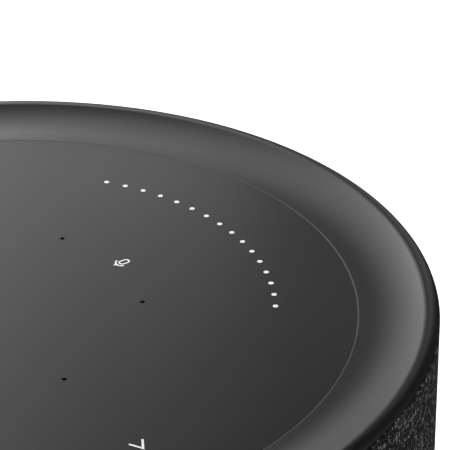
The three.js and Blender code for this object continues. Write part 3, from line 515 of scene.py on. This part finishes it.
SOCKET_RADIUS = 0.0011
SOCKET_DEPTH = 0.0012
HEAD_THICK = 0.0017
STEM_RADIUS = 0.0014
screw_finish = metal_finish("zinc_plated_steel", (0.42, 0.42, 0.43), 0.34)
for name, (screw_low, screw_high) in zip(SCREWS, screw_boxes):
    middle = (screw_low + screw_high) / 2
    head = screw_high.x - middle.x
    under = screw_low.z
    form = turn_outline(
        [(0, under), (head - 0.0008, under), (head - 0.0003, under + 0.0002),
         (head, under + 0.0007), (head, under + HEAD_THICK), (STEM_RADIUS, under + HEAD_THICK),
         (STEM_RADIUS, screw_high.z), (0, screw_high.z)],
        steps=40, closed=False,
    )
    bmesh.ops.translate(form, verts=form.verts, vec=(middle.x, middle.y, 0))
    socket = rods([middle], SOCKET_RADIUS, under - CUT_ROOM, under + SOCKET_DEPTH, 6)
    new_name = name.replace("base", "plate")
    screw = add_piece(new_name, drill(form, socket), "shell", [name])
    give(screw, screw_finish)

# ---------------------------------------------------------------- mains inlet and its pins
# A moulded figure-of-eight inlet is pushed into the plinth's window and clipped from inside.
# Its two plated pins stand in a rounded well.

INLET_TONE = (0.011, 0.011, 0.011)
INLET_WALL = 0.0021
INLET_CORNER = 0.0008
INLET_EDGE = 0.0003
SOCKET_DROP = 0.013
PIN_NOSE = 0.6  # the pin's rounded end, as a share of its radius

inlet_form = block(inlet_low, inlet_high)
bmesh.ops.bevel(
    inlet_form,
    geom=[e for e in inlet_form.edges if abs(e.verts[0].co.y - e.verts[1].co.y) > 0.001],
    offset=INLET_CORNER, segments=3, profile=0.5, affect="EDGES", material=-1,
)
bmesh.ops.bevel(
    inlet_form,
    geom=[e for e in inlet_form.edges if min(v.co.y for v in e.verts) > inlet_high.y - 1e-5],
    offset=INLET_EDGE, segments=2, profile=0.5, affect="EDGES", material=-1,
)
well_half = (inlet_high.z - inlet_low.z) / 2 - INLET_WALL + 0.0002
well_middle = inlet_high.x - INLET_WALL - well_half
well_form = bmesh.new()
rim_points = [
    (side * well_middle + well_half * math.cos(math.radians(angle)),
     well_half * math.sin(math.radians(angle)))
    for side, start in ((1, -90), (-1, 90)) for angle in range(start, start + 181, 12)
]
ends = [
    [well_form.verts.new((x, y, inlet_height + z)) for x, z in rim_points]
    for y in (inlet_high.y - SOCKET_DROP, inlet_high.y + CUT_ROOM)
]
well_form.faces.new(ends[0])
well_form.faces.new(ends[1])
for i in range(len(rim_points)):
    well_form.faces.new((ends[0][i - 1], ends[0][i], ends[1][i], ends[1][i - 1]))
bmesh.ops.recalc_face_normals(well_form, faces=well_form.faces)
mains_inlet = add_piece(
    "mains_inlet", drill(inlet_form, well_form), "shell", ["power_inlet"],
)
give(mains_inlet, moulded_finish("inlet_black", INLET_TONE, 0.5, grain=0.0004, depth=0.04))

pin_finish = metal_finish("plated_brass", (0.72, 0.66, 0.5), 0.22)
for side in ("left", "right"):
    pin_low, pin_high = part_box("inlet_pin_" + side)
    pin_radius = pin_high.z - (pin_low.z + pin_high.z) / 2
    form = turn_outline(
        [(0, pin_low.y), (pin_radius, pin_low.y)]
        + [(pin_radius * math.cos(a), pin_high.y - pin_radius * PIN_NOSE * (1 - math.sin(a)))
           for a in (0, 0.4, 0.8, 1.2, math.pi / 2)],
        steps=32, closed=False,
    )
    along_y = Matrix.Rotation(-math.pi / 2, 3, "X")
    bmesh.ops.rotate(form, verts=form.verts, cent=(0, 0, 0), matrix=along_y)
    pin_place = ((pin_low.x + pin_high.x) / 2, 0, inlet_height)
    bmesh.ops.translate(form, verts=form.verts, vec=pin_place)
    bmesh.ops.recalc_face_normals(form, faces=form.faces)
    pin = add_piece("contact_pin_" + side, form, "shell", ["inlet_pin_" + side])
    give(pin, pin_finish)

# ---------------------------------------------------------------- pairing button
# A round moulded button stands just proud of the plinth. It slides in the wall, and its stem
# presses the switch.

BUTTON_ROUND = 0.0004
BUTTON_TONE = (0.02, 0.02, 0.0205)
BUTTON_RADIUS = 0.003
BUTTON_PROUD = 0.0006
FLANGE_RADIUS = 0.004
FLANGE_THICK = 0.0012
FLANGE_GAP = 0.0005
STEM_LONG = 0.0052  # from the flange's face to the stem's end
BUTTON_STEM = 0.0015
FINGER_DISH = 0.0002  # the face is hollow for the fingertip
button_face = plinth_radius + BUTTON_PROUD
flange_face = plinth_radius - PLINTH_WALL - FLANGE_GAP
button_form = turn_outline(
    [(0, flange_face - STEM_LONG), (BUTTON_STEM, flange_face - STEM_LONG),
     (BUTTON_STEM, flange_face - FLANGE_THICK), (FLANGE_RADIUS, flange_face - FLANGE_THICK),
     (FLANGE_RADIUS, flange_face), (BUTTON_RADIUS, flange_face)]
    + arc(BUTTON_RADIUS - BUTTON_ROUND, button_face - BUTTON_ROUND, BUTTON_ROUND, 0, 90, 4)
    + [(BUTTON_RADIUS * 0.6, button_face - FINGER_DISH * 0.6), (0, button_face - FINGER_DISH)],
    steps=64, closed=False,
)
button_place = (
    Matrix.Rotation(button_turn, 4, "Z") @ Matrix.Translation((0, 0, inlet_height))
    @ Matrix.Rotation(math.pi / 2, 4, "Y")
)
bmesh.ops.transform(button_form, matrix=button_place, verts=button_form.verts)
pair_button = add_piece(
    "pair_button", button_form, "pairing_button", ["pairing_button"],
)
give(pair_button, moulded_finish("button_black", BUTTON_TONE, 0.4, grain=0.0004, depth=0.03))

# ---------------------------------------------------------------- top rim
# One injection-moulded ring of black plastic. It is flat beside the panel, rises in a hollow
# sweep to the crest, and rolls over to a vertical lip above the fabric.

ROLL_RADIUS = 0.0024
STEEPEST = 27.0
LAND_WIDTH = 0.00135
RIM_TONE = (0.018, 0.018, 0.0185)
RIM_ROUGHNESS = 0.40
LINE_WIDTH = 0.00022  # fine pale line between the panel and the rim
PANEL_GAP = 0.00015
LIP_PROUD = 0.0001  # the lip stands this far out over the fabric
LIP_RISE = 0.001  # from the middle of the roll to the lip's underside
SLEEVE_THICK = 0.001
SKIRT_WALL = 0.0024
LEDGE_REACH = 0.02075  # the ledge under the panel, from the lip inwards
LEDGE_THICK = 0.002
EDGE_ROUND = 0.00012
TOP_STEPS = 320  # facets round the pieces of the top

line_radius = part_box("touch_panel")[1].x + PANEL_GAP / 2
sleeve_low, sleeve_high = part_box("fabric_sleeve")
body_radius = sleeve_high.x + LIP_PROUD
rim_in = line_radius + LINE_WIDTH / 2
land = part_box("touch_panel")[1].x + PANEL_GAP + LAND_WIDTH
roll_at = body_radius - ROLL_RADIUS
rise = math.radians(STEEPEST)
dish_radius = (roll_at - ROLL_RADIUS * math.sin(rise) - land) / math.sin(rise)
roll_lift = dish_radius * (1 - math.cos(rise)) - ROLL_RADIUS * math.cos(rise)
lip = PANEL_TOP + roll_lift + LIP_RISE
lip_angle = math.degrees(math.asin(LIP_RISE / ROLL_RADIUS))
sleeve_in = sleeve_high.x - SLEEVE_THICK
skirt_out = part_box("grille_cage")[1].x
skirt_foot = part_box("top_rim")[0].z + 0.0001
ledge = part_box("touch_panel")[0].z - FIT
ledge_in = body_radius - LEDGE_REACH

rim_outline = (
    arc(rim_in + EDGE_ROUND, PANEL_TOP - EDGE_ROUND, EDGE_ROUND, 90, 180, 3)
    + [(rim_in, ledge), (ledge_in, ledge)]
    + [(ledge_in, ledge - LEDGE_THICK), (land, ledge - LEDGE_THICK)]
    + [(skirt_out - SKIRT_WALL, PANEL_TOP - SKIRT_WALL / 2), (skirt_out - SKIRT_WALL, skirt_foot)]
    + [(skirt_out, skirt_foot), (skirt_out, lip)]
    + arc(roll_at, PANEL_TOP + roll_lift, ROLL_RADIUS, lip_angle, 90 + STEEPEST, 26)
    + arc(land, PANEL_TOP + dish_radius, dish_radius, STEEPEST - 90, -90, 30)[1:]
)
dished_rim = add_piece(
    "dished_rim", turn_outline(rim_outline, steps=TOP_STEPS), "shell", ["top_rim"],
)
give(dished_rim, moulded_finish("satin_black", RIM_TONE, RIM_ROUGHNESS))
flag_off(dished_rim, rim_lit)

# ---------------------------------------------------------------- touch panel
# A flat disc of the same black plastic, drilled for the light pins and the microphones.
# The touch film is bonded under it.

LIGHT_COUNT = 16
LIGHT_STEP = 4.5
LIGHT_RADIUS = 0.00055
PORT_COUNT = 6
PORT_RADIUS = 0.0005
PORT_RING = 0.0319
PIN_ROOM = 0.00003
GUIDE_BAR = 0.0016  # half the width of the bar that joins the pins

panel_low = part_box("touch_panel")[0]
panel_radius = line_radius - LINE_WIDTH / 2
light_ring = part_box("led_light_guide")[1].y - GUIDE_BAR


def on_circle(count, radius, first, step):
    """Places on a circle, first and step in degrees from the user's right."""
    angles = [math.radians(first + step * i) for i in range(count)]
    return [Vector((radius * math.cos(a), radius * math.sin(a), 0)) for a in angles]


first_light = 90 - LIGHT_STEP * (LIGHT_COUNT - 1) / 2
light_places = on_circle(LIGHT_COUNT, light_ring, first_light, LIGHT_STEP)
port_places = on_circle(PORT_COUNT, PORT_RING, 0, 360 / PORT_COUNT)
bores = bmesh.new()
for places, bore_radius in ((light_places, LIGHT_RADIUS + PIN_ROOM), (port_places, PORT_RADIUS)):
    rods(places, bore_radius, panel_low.z - CUT_ROOM, PANEL_TOP + CUT_ROOM, form=bores)
touch_surface = add_piece("touch_surface", drill(turn_outline(
    [(0, panel_low.z), (panel_radius, panel_low.z)]
    + arc(panel_radius - EDGE_ROUND, PANEL_TOP - EDGE_ROUND, EDGE_ROUND, 0, 90, 3)
    + [(0, PANEL_TOP)],
    steps=TOP_STEPS, closed=False,
), bores), "shell", ["touch_panel"])
give(touch_surface, moulded_finish("satin_touch_face", RIM_TONE, RIM_ROUGHNESS))
flag_off(touch_surface, panel_lit)

# The fine pale line is a thin ring moulded in the joint between the panel and the rim. Its pale
# tone is partly its own colour and partly a painted highlight for the joint's edge catching light.

LINE_TONE_AND_PAINTED_HIGHLIGHT = (0.19, 0.19, 0.19)
LINE_PAINTED_HIGHLIGHT_GLOW = 0.03
LINE_DEEP = 0.0012
LINE_ROOM = 0.00001  # gap at each side, and below the panel's face
line_in = line_radius - LINE_WIDTH / 2 + LINE_ROOM
line_out = line_radius + LINE_WIDTH / 2 - LINE_ROOM
panel_line = add_piece("panel_line", turn_outline([
    (line_in, PANEL_TOP - LINE_DEEP), (line_out, PANEL_TOP - LINE_DEEP),
    (line_out, PANEL_TOP - LINE_ROOM), (line_in, PANEL_TOP - LINE_ROOM),
], steps=TOP_STEPS), "shell")
pale_line_painted_highlight_finish = moulded_finish("pale_line_and_painted_highlight", LINE_TONE_AND_PAINTED_HIGHLIGHT, 0.6)
line_shader = pale_line_painted_highlight_finish.node_tree.nodes["Principled BSDF"]
# Painted highlight: the ring glows faintly though it is no lamp, standing in for its edge catching
# light.
line_shader.inputs["Emission Color"].default_value = WHITE
line_shader.inputs["Emission Strength"].default_value = LINE_PAINTED_HIGHLIGHT_GLOW
give(panel_line, pale_line_painted_highlight_finish)
flag_off(panel_line, panel_lit)

# ---------------------------------------------------------------- lights
# A clear moulding carries the light of each diode up through the panel in a pin of its own.
# The pins end flush with the panel's face and glow white.

PIN_GLOW = 0.75
PIN_DROP = 0.00002  # the pins end this far under the panel's face
GUIDE_THICK = 0.0017

guide_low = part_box("led_light_guide")[0]
guide_top = guide_low.z + GUIDE_THICK
guide = bmesh.new()
bar_half = math.radians(LIGHT_STEP * LIGHT_COUNT / 2)
corners = [
    guide.verts.new((radius * math.sin(-bar_half), radius * math.cos(-bar_half), height))
    for radius, height in (
        (light_ring - GUIDE_BAR, guide_low.z), (light_ring + GUIDE_BAR, guide_low.z),
        (light_ring + GUIDE_BAR, guide_top), (light_ring - GUIDE_BAR, guide_top),
    )
]
section = guide.faces.new(corners)
bmesh.ops.spin(
    guide, geom=[section] + list(section.edges) + corners, cent=(0, 0, 0), axis=(0, 0, -1),
    angle=2 * bar_half, steps=48,
)
bmesh.ops.recalc_face_normals(guide, faces=guide.faces)
rods(light_places, LIGHT_RADIUS, guide_low.z + 0.001, PANEL_TOP - PIN_DROP, form=guide)
light_pins = add_piece("light_pins", guide, "shell", ["led_light_guide"])
glow_finish = bpy.data.materials.new("lit_clear_plastic")
glow_finish.use_nodes = True
glow_nodes, glow_links = glow_finish.node_tree.nodes, glow_finish.node_tree.links
glow_shader = glow_nodes["Principled BSDF"]
glow_shader.inputs["Base Color"].default_value = (0.8, 0.8, 0.79, 1)
glow_shader.inputs["Roughness"].default_value = 0.35
glow_shader.inputs["Emission Color"].default_value = WHITE
glow_shader.inputs["Emission Strength"].default_value = PIN_GLOW
glow_place = glow_nodes.new("ShaderNodeTexCoord")
glow_cloud = glow_nodes.new("ShaderNodeTexNoise")
glow_cloud.inputs["Scale"].default_value = 900
glow_links.new(glow_place.outputs["Object"], glow_cloud.inputs["Vector"])
glow_range = glow_nodes.new("ShaderNodeMapRange")
glow_range.inputs["To Min"].default_value = 0.3
glow_range.inputs["To Max"].default_value = 0.4
glow_links.new(glow_cloud.outputs["Fac"], glow_range.inputs["Value"])
glow_links.new(glow_range.outputs["Result"], glow_shader.inputs["Roughness"])
give(light_pins, glow_finish)
flag_off(light_pins, panel_lit)

# ---------------------------------------------------------------- marks on the panel
# The marks are windows etched through the black coat, lit from below like the dots: a
# microphone at the back and an angle mark at each side.

MARK_DEEP = 0.00006
MARK_PROUD = 0.00001
ANGLE_STROKE = 0.00042
MIC_STROKE = 0.00034


def stroke(form, line, width, closed=False):
    """Adds a flat mark along a line of (x, y) points, with mitred corners, to a form."""
    count = len(line)
    sides = []
    for i, (x, y) in enumerate(line):
        ways = []
        for first, second in ((i - 1, i), (i, i + 1)):
            if closed or 0 <= first < count - 1 and second < count:
                start, end = line[first % count], line[second % count]
                ways.append(Vector((end[0] - start[0], end[1] - start[1])).normalized())
        normals = [Vector((-way.y, way.x)) for way in ways]
        mitre = sum(normals, Vector((0, 0))).normalized()
        mitre *= width / 2 / mitre.dot(normals[0])
        sides.append((Vector((x, y)) + mitre, Vector((x, y)) - mitre))
    rings = [
        [form.verts.new((point.x, point.y, PANEL_TOP + height)) for point, height in (
            (left, MARK_PROUD), (right, MARK_PROUD), (right, -MARK_DEEP), (left, -MARK_DEEP),
        )]
        for left, right in sides
    ]
    pairs = list(zip(rings, rings[1:])) + ([(rings[-1], rings[0])] if closed else [])
    for near, far in pairs:
        for i in range(4):
            form.faces.new((near[i - 1], near[i], far[i], far[i - 1]))
    if not closed:
        form.faces.new(rings[0])
        form.faces.new(rings[-1])
    bmesh.ops.recalc_face_normals(form, faces=form.faces)
    return form


def circle_points(x, y, radius, start, end, steps):
    """Points round part of a circle, angles in degrees."""
    angles = [math.radians(start + (end - start) * i / steps) for i in range(steps + 1)]
    return [(x + radius * math.cos(a), y + radius * math.sin(a)) for a in angles]


MIC_STEM_END = 0.0306
MIC_CRADLE = 0.00137
MIC_CRADLE_AT = 0.03265
MIC_HEAD = 0.00067
MIC_HEAD_FROM = 0.03272
MIC_HEAD_TO = 0.03356
microphone = bmesh.new()
stroke(microphone, [(0, MIC_STEM_END), (0, MIC_CRADLE_AT - MIC_CRADLE)], MIC_STROKE)
stroke(microphone, circle_points(0, MIC_CRADLE_AT, MIC_CRADLE, 197, 343, 14), MIC_STROKE)
stroke(
    microphone,
    circle_points(0, MIC_HEAD_TO, MIC_HEAD, 0, 180, 10)
    + circle_points(0, MIC_HEAD_FROM, MIC_HEAD, 180, 360, 10),
    MIC_STROKE, closed=True,
)
microphone_mark = add_piece("microphone_mark", microphone, "shell")

ANGLE_TIP = 0.0602
ANGLE_BACK = 0.0576
ANGLE_HALF = 0.00146
for name, side in (("right_mark", 1), ("left_mark", -1)):
    angle = stroke(bmesh.new(), [
        (side * ANGLE_BACK, -ANGLE_HALF), (side * ANGLE_TIP, 0), (side * ANGLE_BACK, ANGLE_HALF),
    ], ANGLE_STROKE)
    mark = give(add_piece(name, angle, "shell"), glow_finish)
    flag_off(mark, panel_lit)
flag_off(give(microphone_mark, glow_finish), panel_lit)

# ---------------------------------------------------------------- knitted sleeve
# A tube of heathered polyester knit, stretched over the cage. Its upper edge is glued under
# the rim's lip, and its lower edge is hemmed over the plinth.

HEM = 0.0008
TURN_IN = 0.0003  # the glued upper edge curls in under the lip
GLUE_LINE = 0.0001  # between the fabric's inside and the cage, and between its edge and the lip
SLEEVE_COLUMNS = 480
SLEEVE_ROWS = 60

sleeve_radius = sleeve_high.x
sleeve_top = lip - GLUE_LINE
sleeve_height = sleeve_top - sleeve_low.z
rows = [
    (sleeve_radius, sleeve_low.z + HEM + (sleeve_height - HEM - TURN_IN) * i / SLEEVE_ROWS)
    for i in range(SLEEVE_ROWS)
]
sleeve_outline = (
    [(sleeve_in + GLUE_LINE, sleeve_low.z + HEM), (sleeve_in + GLUE_LINE, sleeve_low.z)]
    + arc(sleeve_radius - HEM, sleeve_low.z + HEM, HEM, -90, 0, 5)[:-1]
    + rows
    + arc(sleeve_radius - TURN_IN, sleeve_top - TURN_IN, TURN_IN, 0, 90, 5)
)
knit_sleeve = add_piece(
    "knit_sleeve", turn_outline(sleeve_outline, steps=SLEEVE_COLUMNS, closed=False),
    "shell", ["fabric_sleeve"], sharp=math.radians(80),
)

WALES_PER_TURN = 860
COURSE_HEIGHT = 0.00045
WANDER = 1.6  # how far the yarn strays across, in stitches
WANDER_SCALE = 0.7
LEAN = 1.3  # of each arm of a stitch, in courses per wale
YARN_RELIEF = 0.0002
GAP_PAINTED_SHADE = 0.3  # painted shade: the tone left in the gaps between the yarns
PATCH_SCALE = 0.28
PATCH_PULL = 1.1
YARN_GREYS = (
    (0.0, 0.006), (0.2, 0.019), (0.35, 0.038), (0.5, 0.051),
    (0.72, 0.067), (0.86, 0.11), (0.93, 0.27), (1.0, 0.5),
)
# The unwrapped map runs once round in U and by the metre up in V.
strip = knit_sleeve.data.uv_layers.new(name="knit_map")
for face in knit_sleeve.data.polygons:
    turns = []
    for corner in face.loop_indices:
        spot = knit_sleeve.data.vertices[knit_sleeve.data.loops[corner].vertex_index].co
        turns.append(math.atan2(spot.y, spot.x) / FULL_TURN % 1.0)
        strip.data[corner].uv = (turns[-1], spot.z)
    if max(turns) - min(turns) > 0.5:
        for corner in face.loop_indices:
            if strip.data[corner].uv.x < 0.5:
                strip.data[corner].uv.x += 1.0

knit = bpy.data.materials.new("heathered_knit")
knit.use_nodes = True
nodes, links = knit.node_tree.nodes, knit.node_tree.links
shader = nodes["Principled BSDF"]


def calc(operation, first, second=None, third=None):
    """One Math node of the knit, from sockets or numbers."""
    node = nodes.new("ShaderNodeMath")
    node.operation = operation
    for socket, value in zip(node.inputs, (first, second, third)):
        if value is None:
            continue
        if isinstance(value, (int, float)):
            socket.default_value = value
        else:
            links.new(value, socket)
    return node.outputs["Value"]


knit_uv = nodes.new("ShaderNodeUVMap")
knit_uv.uv_map = "knit_map"
split = nodes.new("ShaderNodeSeparateXYZ")
links.new(knit_uv.outputs["UV"], split.inputs["Vector"])
across = calc("MULTIPLY", split.outputs["X"], WALES_PER_TURN)
along = calc("MULTIPLY", split.outputs["Y"], 1 / COURSE_HEIGHT)
# The yarn wanders a little, so the stitches don't stand in perfect rows.
grid = nodes.new("ShaderNodeCombineXYZ")
links.new(across, grid.inputs["X"])
links.new(along, grid.inputs["Y"])
wander = nodes.new("ShaderNodeTexNoise")
wander.inputs["Scale"].default_value = WANDER_SCALE
wander.inputs["Detail"].default_value = 3
links.new(grid.outputs["Vector"], wander.inputs["Vector"])
drift = nodes.new("ShaderNodeSeparateColor")
links.new(wander.outputs["Color"], drift.inputs["Color"])
stray_across = calc("MULTIPLY", calc("SUBTRACT", drift.outputs["Red"], 0.5), WANDER)
stray_along = calc("MULTIPLY", calc("SUBTRACT", drift.outputs["Green"], 0.5), WANDER * 1.5)
across = calc("ADD", across, stray_across)
along = calc("ADD", along, stray_along)
wale = calc("FLOOR", across)
in_wale = calc("SUBTRACT", calc("FRACT", across), 0.5)
arm = calc("ABSOLUTE", in_wale)
slanted = calc("ADD", along, calc("MULTIPLY", arm, LEAN))  # the two arms lean to a V
course = calc("FLOOR", slanted)
in_course = calc("FRACT", slanted)
# Height of the yarn: round across each arm, and dipping between stitches and between arms.
arm_round = calc("ABSOLUTE", calc("SINE", calc("MULTIPLY", arm, FULL_TURN)))
loop_round = calc("SINE", calc("MULTIPLY", in_course, math.pi))
yarn_height = calc("MULTIPLY", calc("POWER", arm_round, 0.6), calc("POWER", loop_round, 0.5))
bump = nodes.new("ShaderNodeBump")
bump.inputs["Strength"].default_value = 0.9
bump.inputs["Distance"].default_value = YARN_RELIEF
links.new(yarn_height, bump.inputs["Height"])
links.new(bump.outputs["Normal"], shader.inputs["Normal"])
# Each arm takes its own grey from the mixed yarn, and pale fibres gather in loose patches.
cell = nodes.new("ShaderNodeCombineXYZ")
links.new(wale, cell.inputs["X"])
links.new(course, cell.inputs["Y"])
links.new(calc("SIGN", in_wale), cell.inputs["Z"])
dye = nodes.new("ShaderNodeTexWhiteNoise")
dye.noise_dimensions = "3D"
links.new(cell.outputs["Vector"], dye.inputs["Vector"])
patch = nodes.new("ShaderNodeTexNoise")
patch.inputs["Scale"].default_value = PATCH_SCALE
patch.inputs["Detail"].default_value = 2
links.new(grid.outputs["Vector"], patch.inputs["Vector"])
pull = calc("MULTIPLY", calc("SUBTRACT", patch.outputs["Fac"], 0.5), PATCH_PULL)
pick = calc("ADD", dye.outputs["Value"], pull)
heather = nodes.new("ShaderNodeValToRGB")
ramp = heather.color_ramp
ramp.elements[0].position = 0.0
ramp.elements[0].color = (YARN_GREYS[0][1],) * 3 + (1,)
ramp.elements[1].position = 1.0
ramp.elements[1].color = (YARN_GREYS[-1][1],) * 3 + (1,)
for position, grey in YARN_GREYS[1:-1]:
    ramp.elements.new(position).color = (grey, grey, grey * 1.02, 1)
links.new(pick, heather.inputs["Fac"])
# Painted shade: the heathered grey is darkened where the yarn dips, between stitches and between
# arms.
shade = nodes.new("ShaderNodeMapRange")
shade.inputs["To Min"].default_value = GAP_PAINTED_SHADE
shade.inputs["To Max"].default_value = 1.0
links.new(yarn_height, shade.inputs["Value"])
heather_with_painted_shade = nodes.new("ShaderNodeVectorMath")
heather_with_painted_shade.operation = "SCALE"
links.new(heather.outputs["Color"], heather_with_painted_shade.inputs[0])
links.new(shade.outputs["Result"], heather_with_painted_shade.inputs["Scale"])
links.new(heather_with_painted_shade.outputs["Vector"], shader.inputs["Base Color"])
shader.inputs["Roughness"].default_value = 0.9
shader.inputs["Specular IOR Level"].default_value = 0.08
give(knit_sleeve, knit)

# ---------------------------------------------------------------- inner pieces
# Everything inside keeps the model's own shapes. Each one takes the finish of what it is made of:
# moulded frames, coated circuit boards, tin-plated cans, cast and pressed metal, paper and cloth.


def cloth_finish(name, tone, pitch):
    """Woven or pressed fibre: a fine weave in its height."""
    finish = moulded_finish(name, tone, 0.85, grain=pitch, depth=0.3)
    nodes, links = finish.node_tree.nodes, finish.node_tree.links
    weave = nodes.new("ShaderNodeTexWave")
    weave.inputs["Scale"].default_value = 0.5 / pitch
    weave.inputs["Distortion"].default_value = 1.5
    place = next(n for n in nodes if n.type == "TEX_COORD")
    bump = next(n for n in nodes if n.type == "BUMP")
    links.new(place.outputs["Object"], weave.inputs["Vector"])
    links.new(weave.outputs["Fac"], bump.inputs["Height"])
    return finish


TRACK_SCALE = 320


def board_finish(name, mask, copper):
    """A circuit board: dark solder mask with copper tracks showing faintly through it."""
    finish = moulded_finish(name, mask, 0.3, grain=0.0003, depth=0.05)
    nodes, links = finish.node_tree.nodes, finish.node_tree.links
    tracks = nodes.new("ShaderNodeTexVoronoi")
    tracks.distance = "MANHATTAN"
    tracks.feature = "F1"
    tracks.inputs["Scale"].default_value = TRACK_SCALE
    place = next(n for n in nodes if n.type == "TEX_COORD")
    links.new(place.outputs["Object"], tracks.inputs["Vector"])
    edge = nodes.new("ShaderNodeMapRange")
    edge.inputs["From Min"].default_value = 0.55
    edge.inputs["From Max"].default_value = 0.65
    links.new(tracks.outputs["Distance"], edge.inputs["Value"])
    mix = nodes.new("ShaderNodeMix")
    mix.data_type = "RGBA"
    mix.inputs["A"].default_value = (*mask, 1)
    mix.inputs["B"].default_value = (*copper, 1)
    links.new(edge.outputs["Result"], mix.inputs["Factor"])
    links.new(mix.outputs["Result"], nodes["Principled BSDF"].inputs["Base Color"])
    return finish


INNER_FINISHES = {
    "inner_plastic": moulded_finish("inner_moulding", (0.022, 0.022, 0.023), 0.55),
    "plinth_plastic": plinth_finish,
    "foot_silicone": moulded_finish("soft_silicone", (0.05, 0.05, 0.05), 0.7),
    "surround_rubber": moulded_finish(
        "butyl_rubber", (0.014, 0.014, 0.014), 0.6, grain=0.0003, depth=0.08,
    ),
    "polyimide_film": moulded_finish("polyimide", (0.32, 0.15, 0.03), 0.3),
    "circuit_board": board_finish("green_board", (0.006, 0.035, 0.016), (0.03, 0.09, 0.04)),
    "tin_plate": metal_finish("tinned_can", (0.62, 0.62, 0.6), 0.3),
    "heat_sink_aluminium": metal_finish("extruded_aluminium", (0.6, 0.61, 0.62), 0.38),
    "bright_steel": screw_finish,
    "ferrite": moulded_finish(
        "sintered_ferrite", (0.03, 0.03, 0.032), 0.62, grain=0.0002, depth=0.12,
    ),
    "contact_brass": pin_finish,
    "pressed_paper": cloth_finish("pressed_paper_cone", (0.02, 0.02, 0.021), 0.0006),
    "dome_cloth": cloth_finish("coated_dome_cloth", (0.018, 0.018, 0.02), 0.0004),
    "knit_fabric": cloth_finish("plain_cloth", (0.03, 0.03, 0.03), 0.0006),
}
for subpart in frame["record"]["subparts"]:
    node = frame["nodes"][subpart["node"]]
    if not node.hide_render:
        give(node, INNER_FINISHES[subpart["material_slot"]])
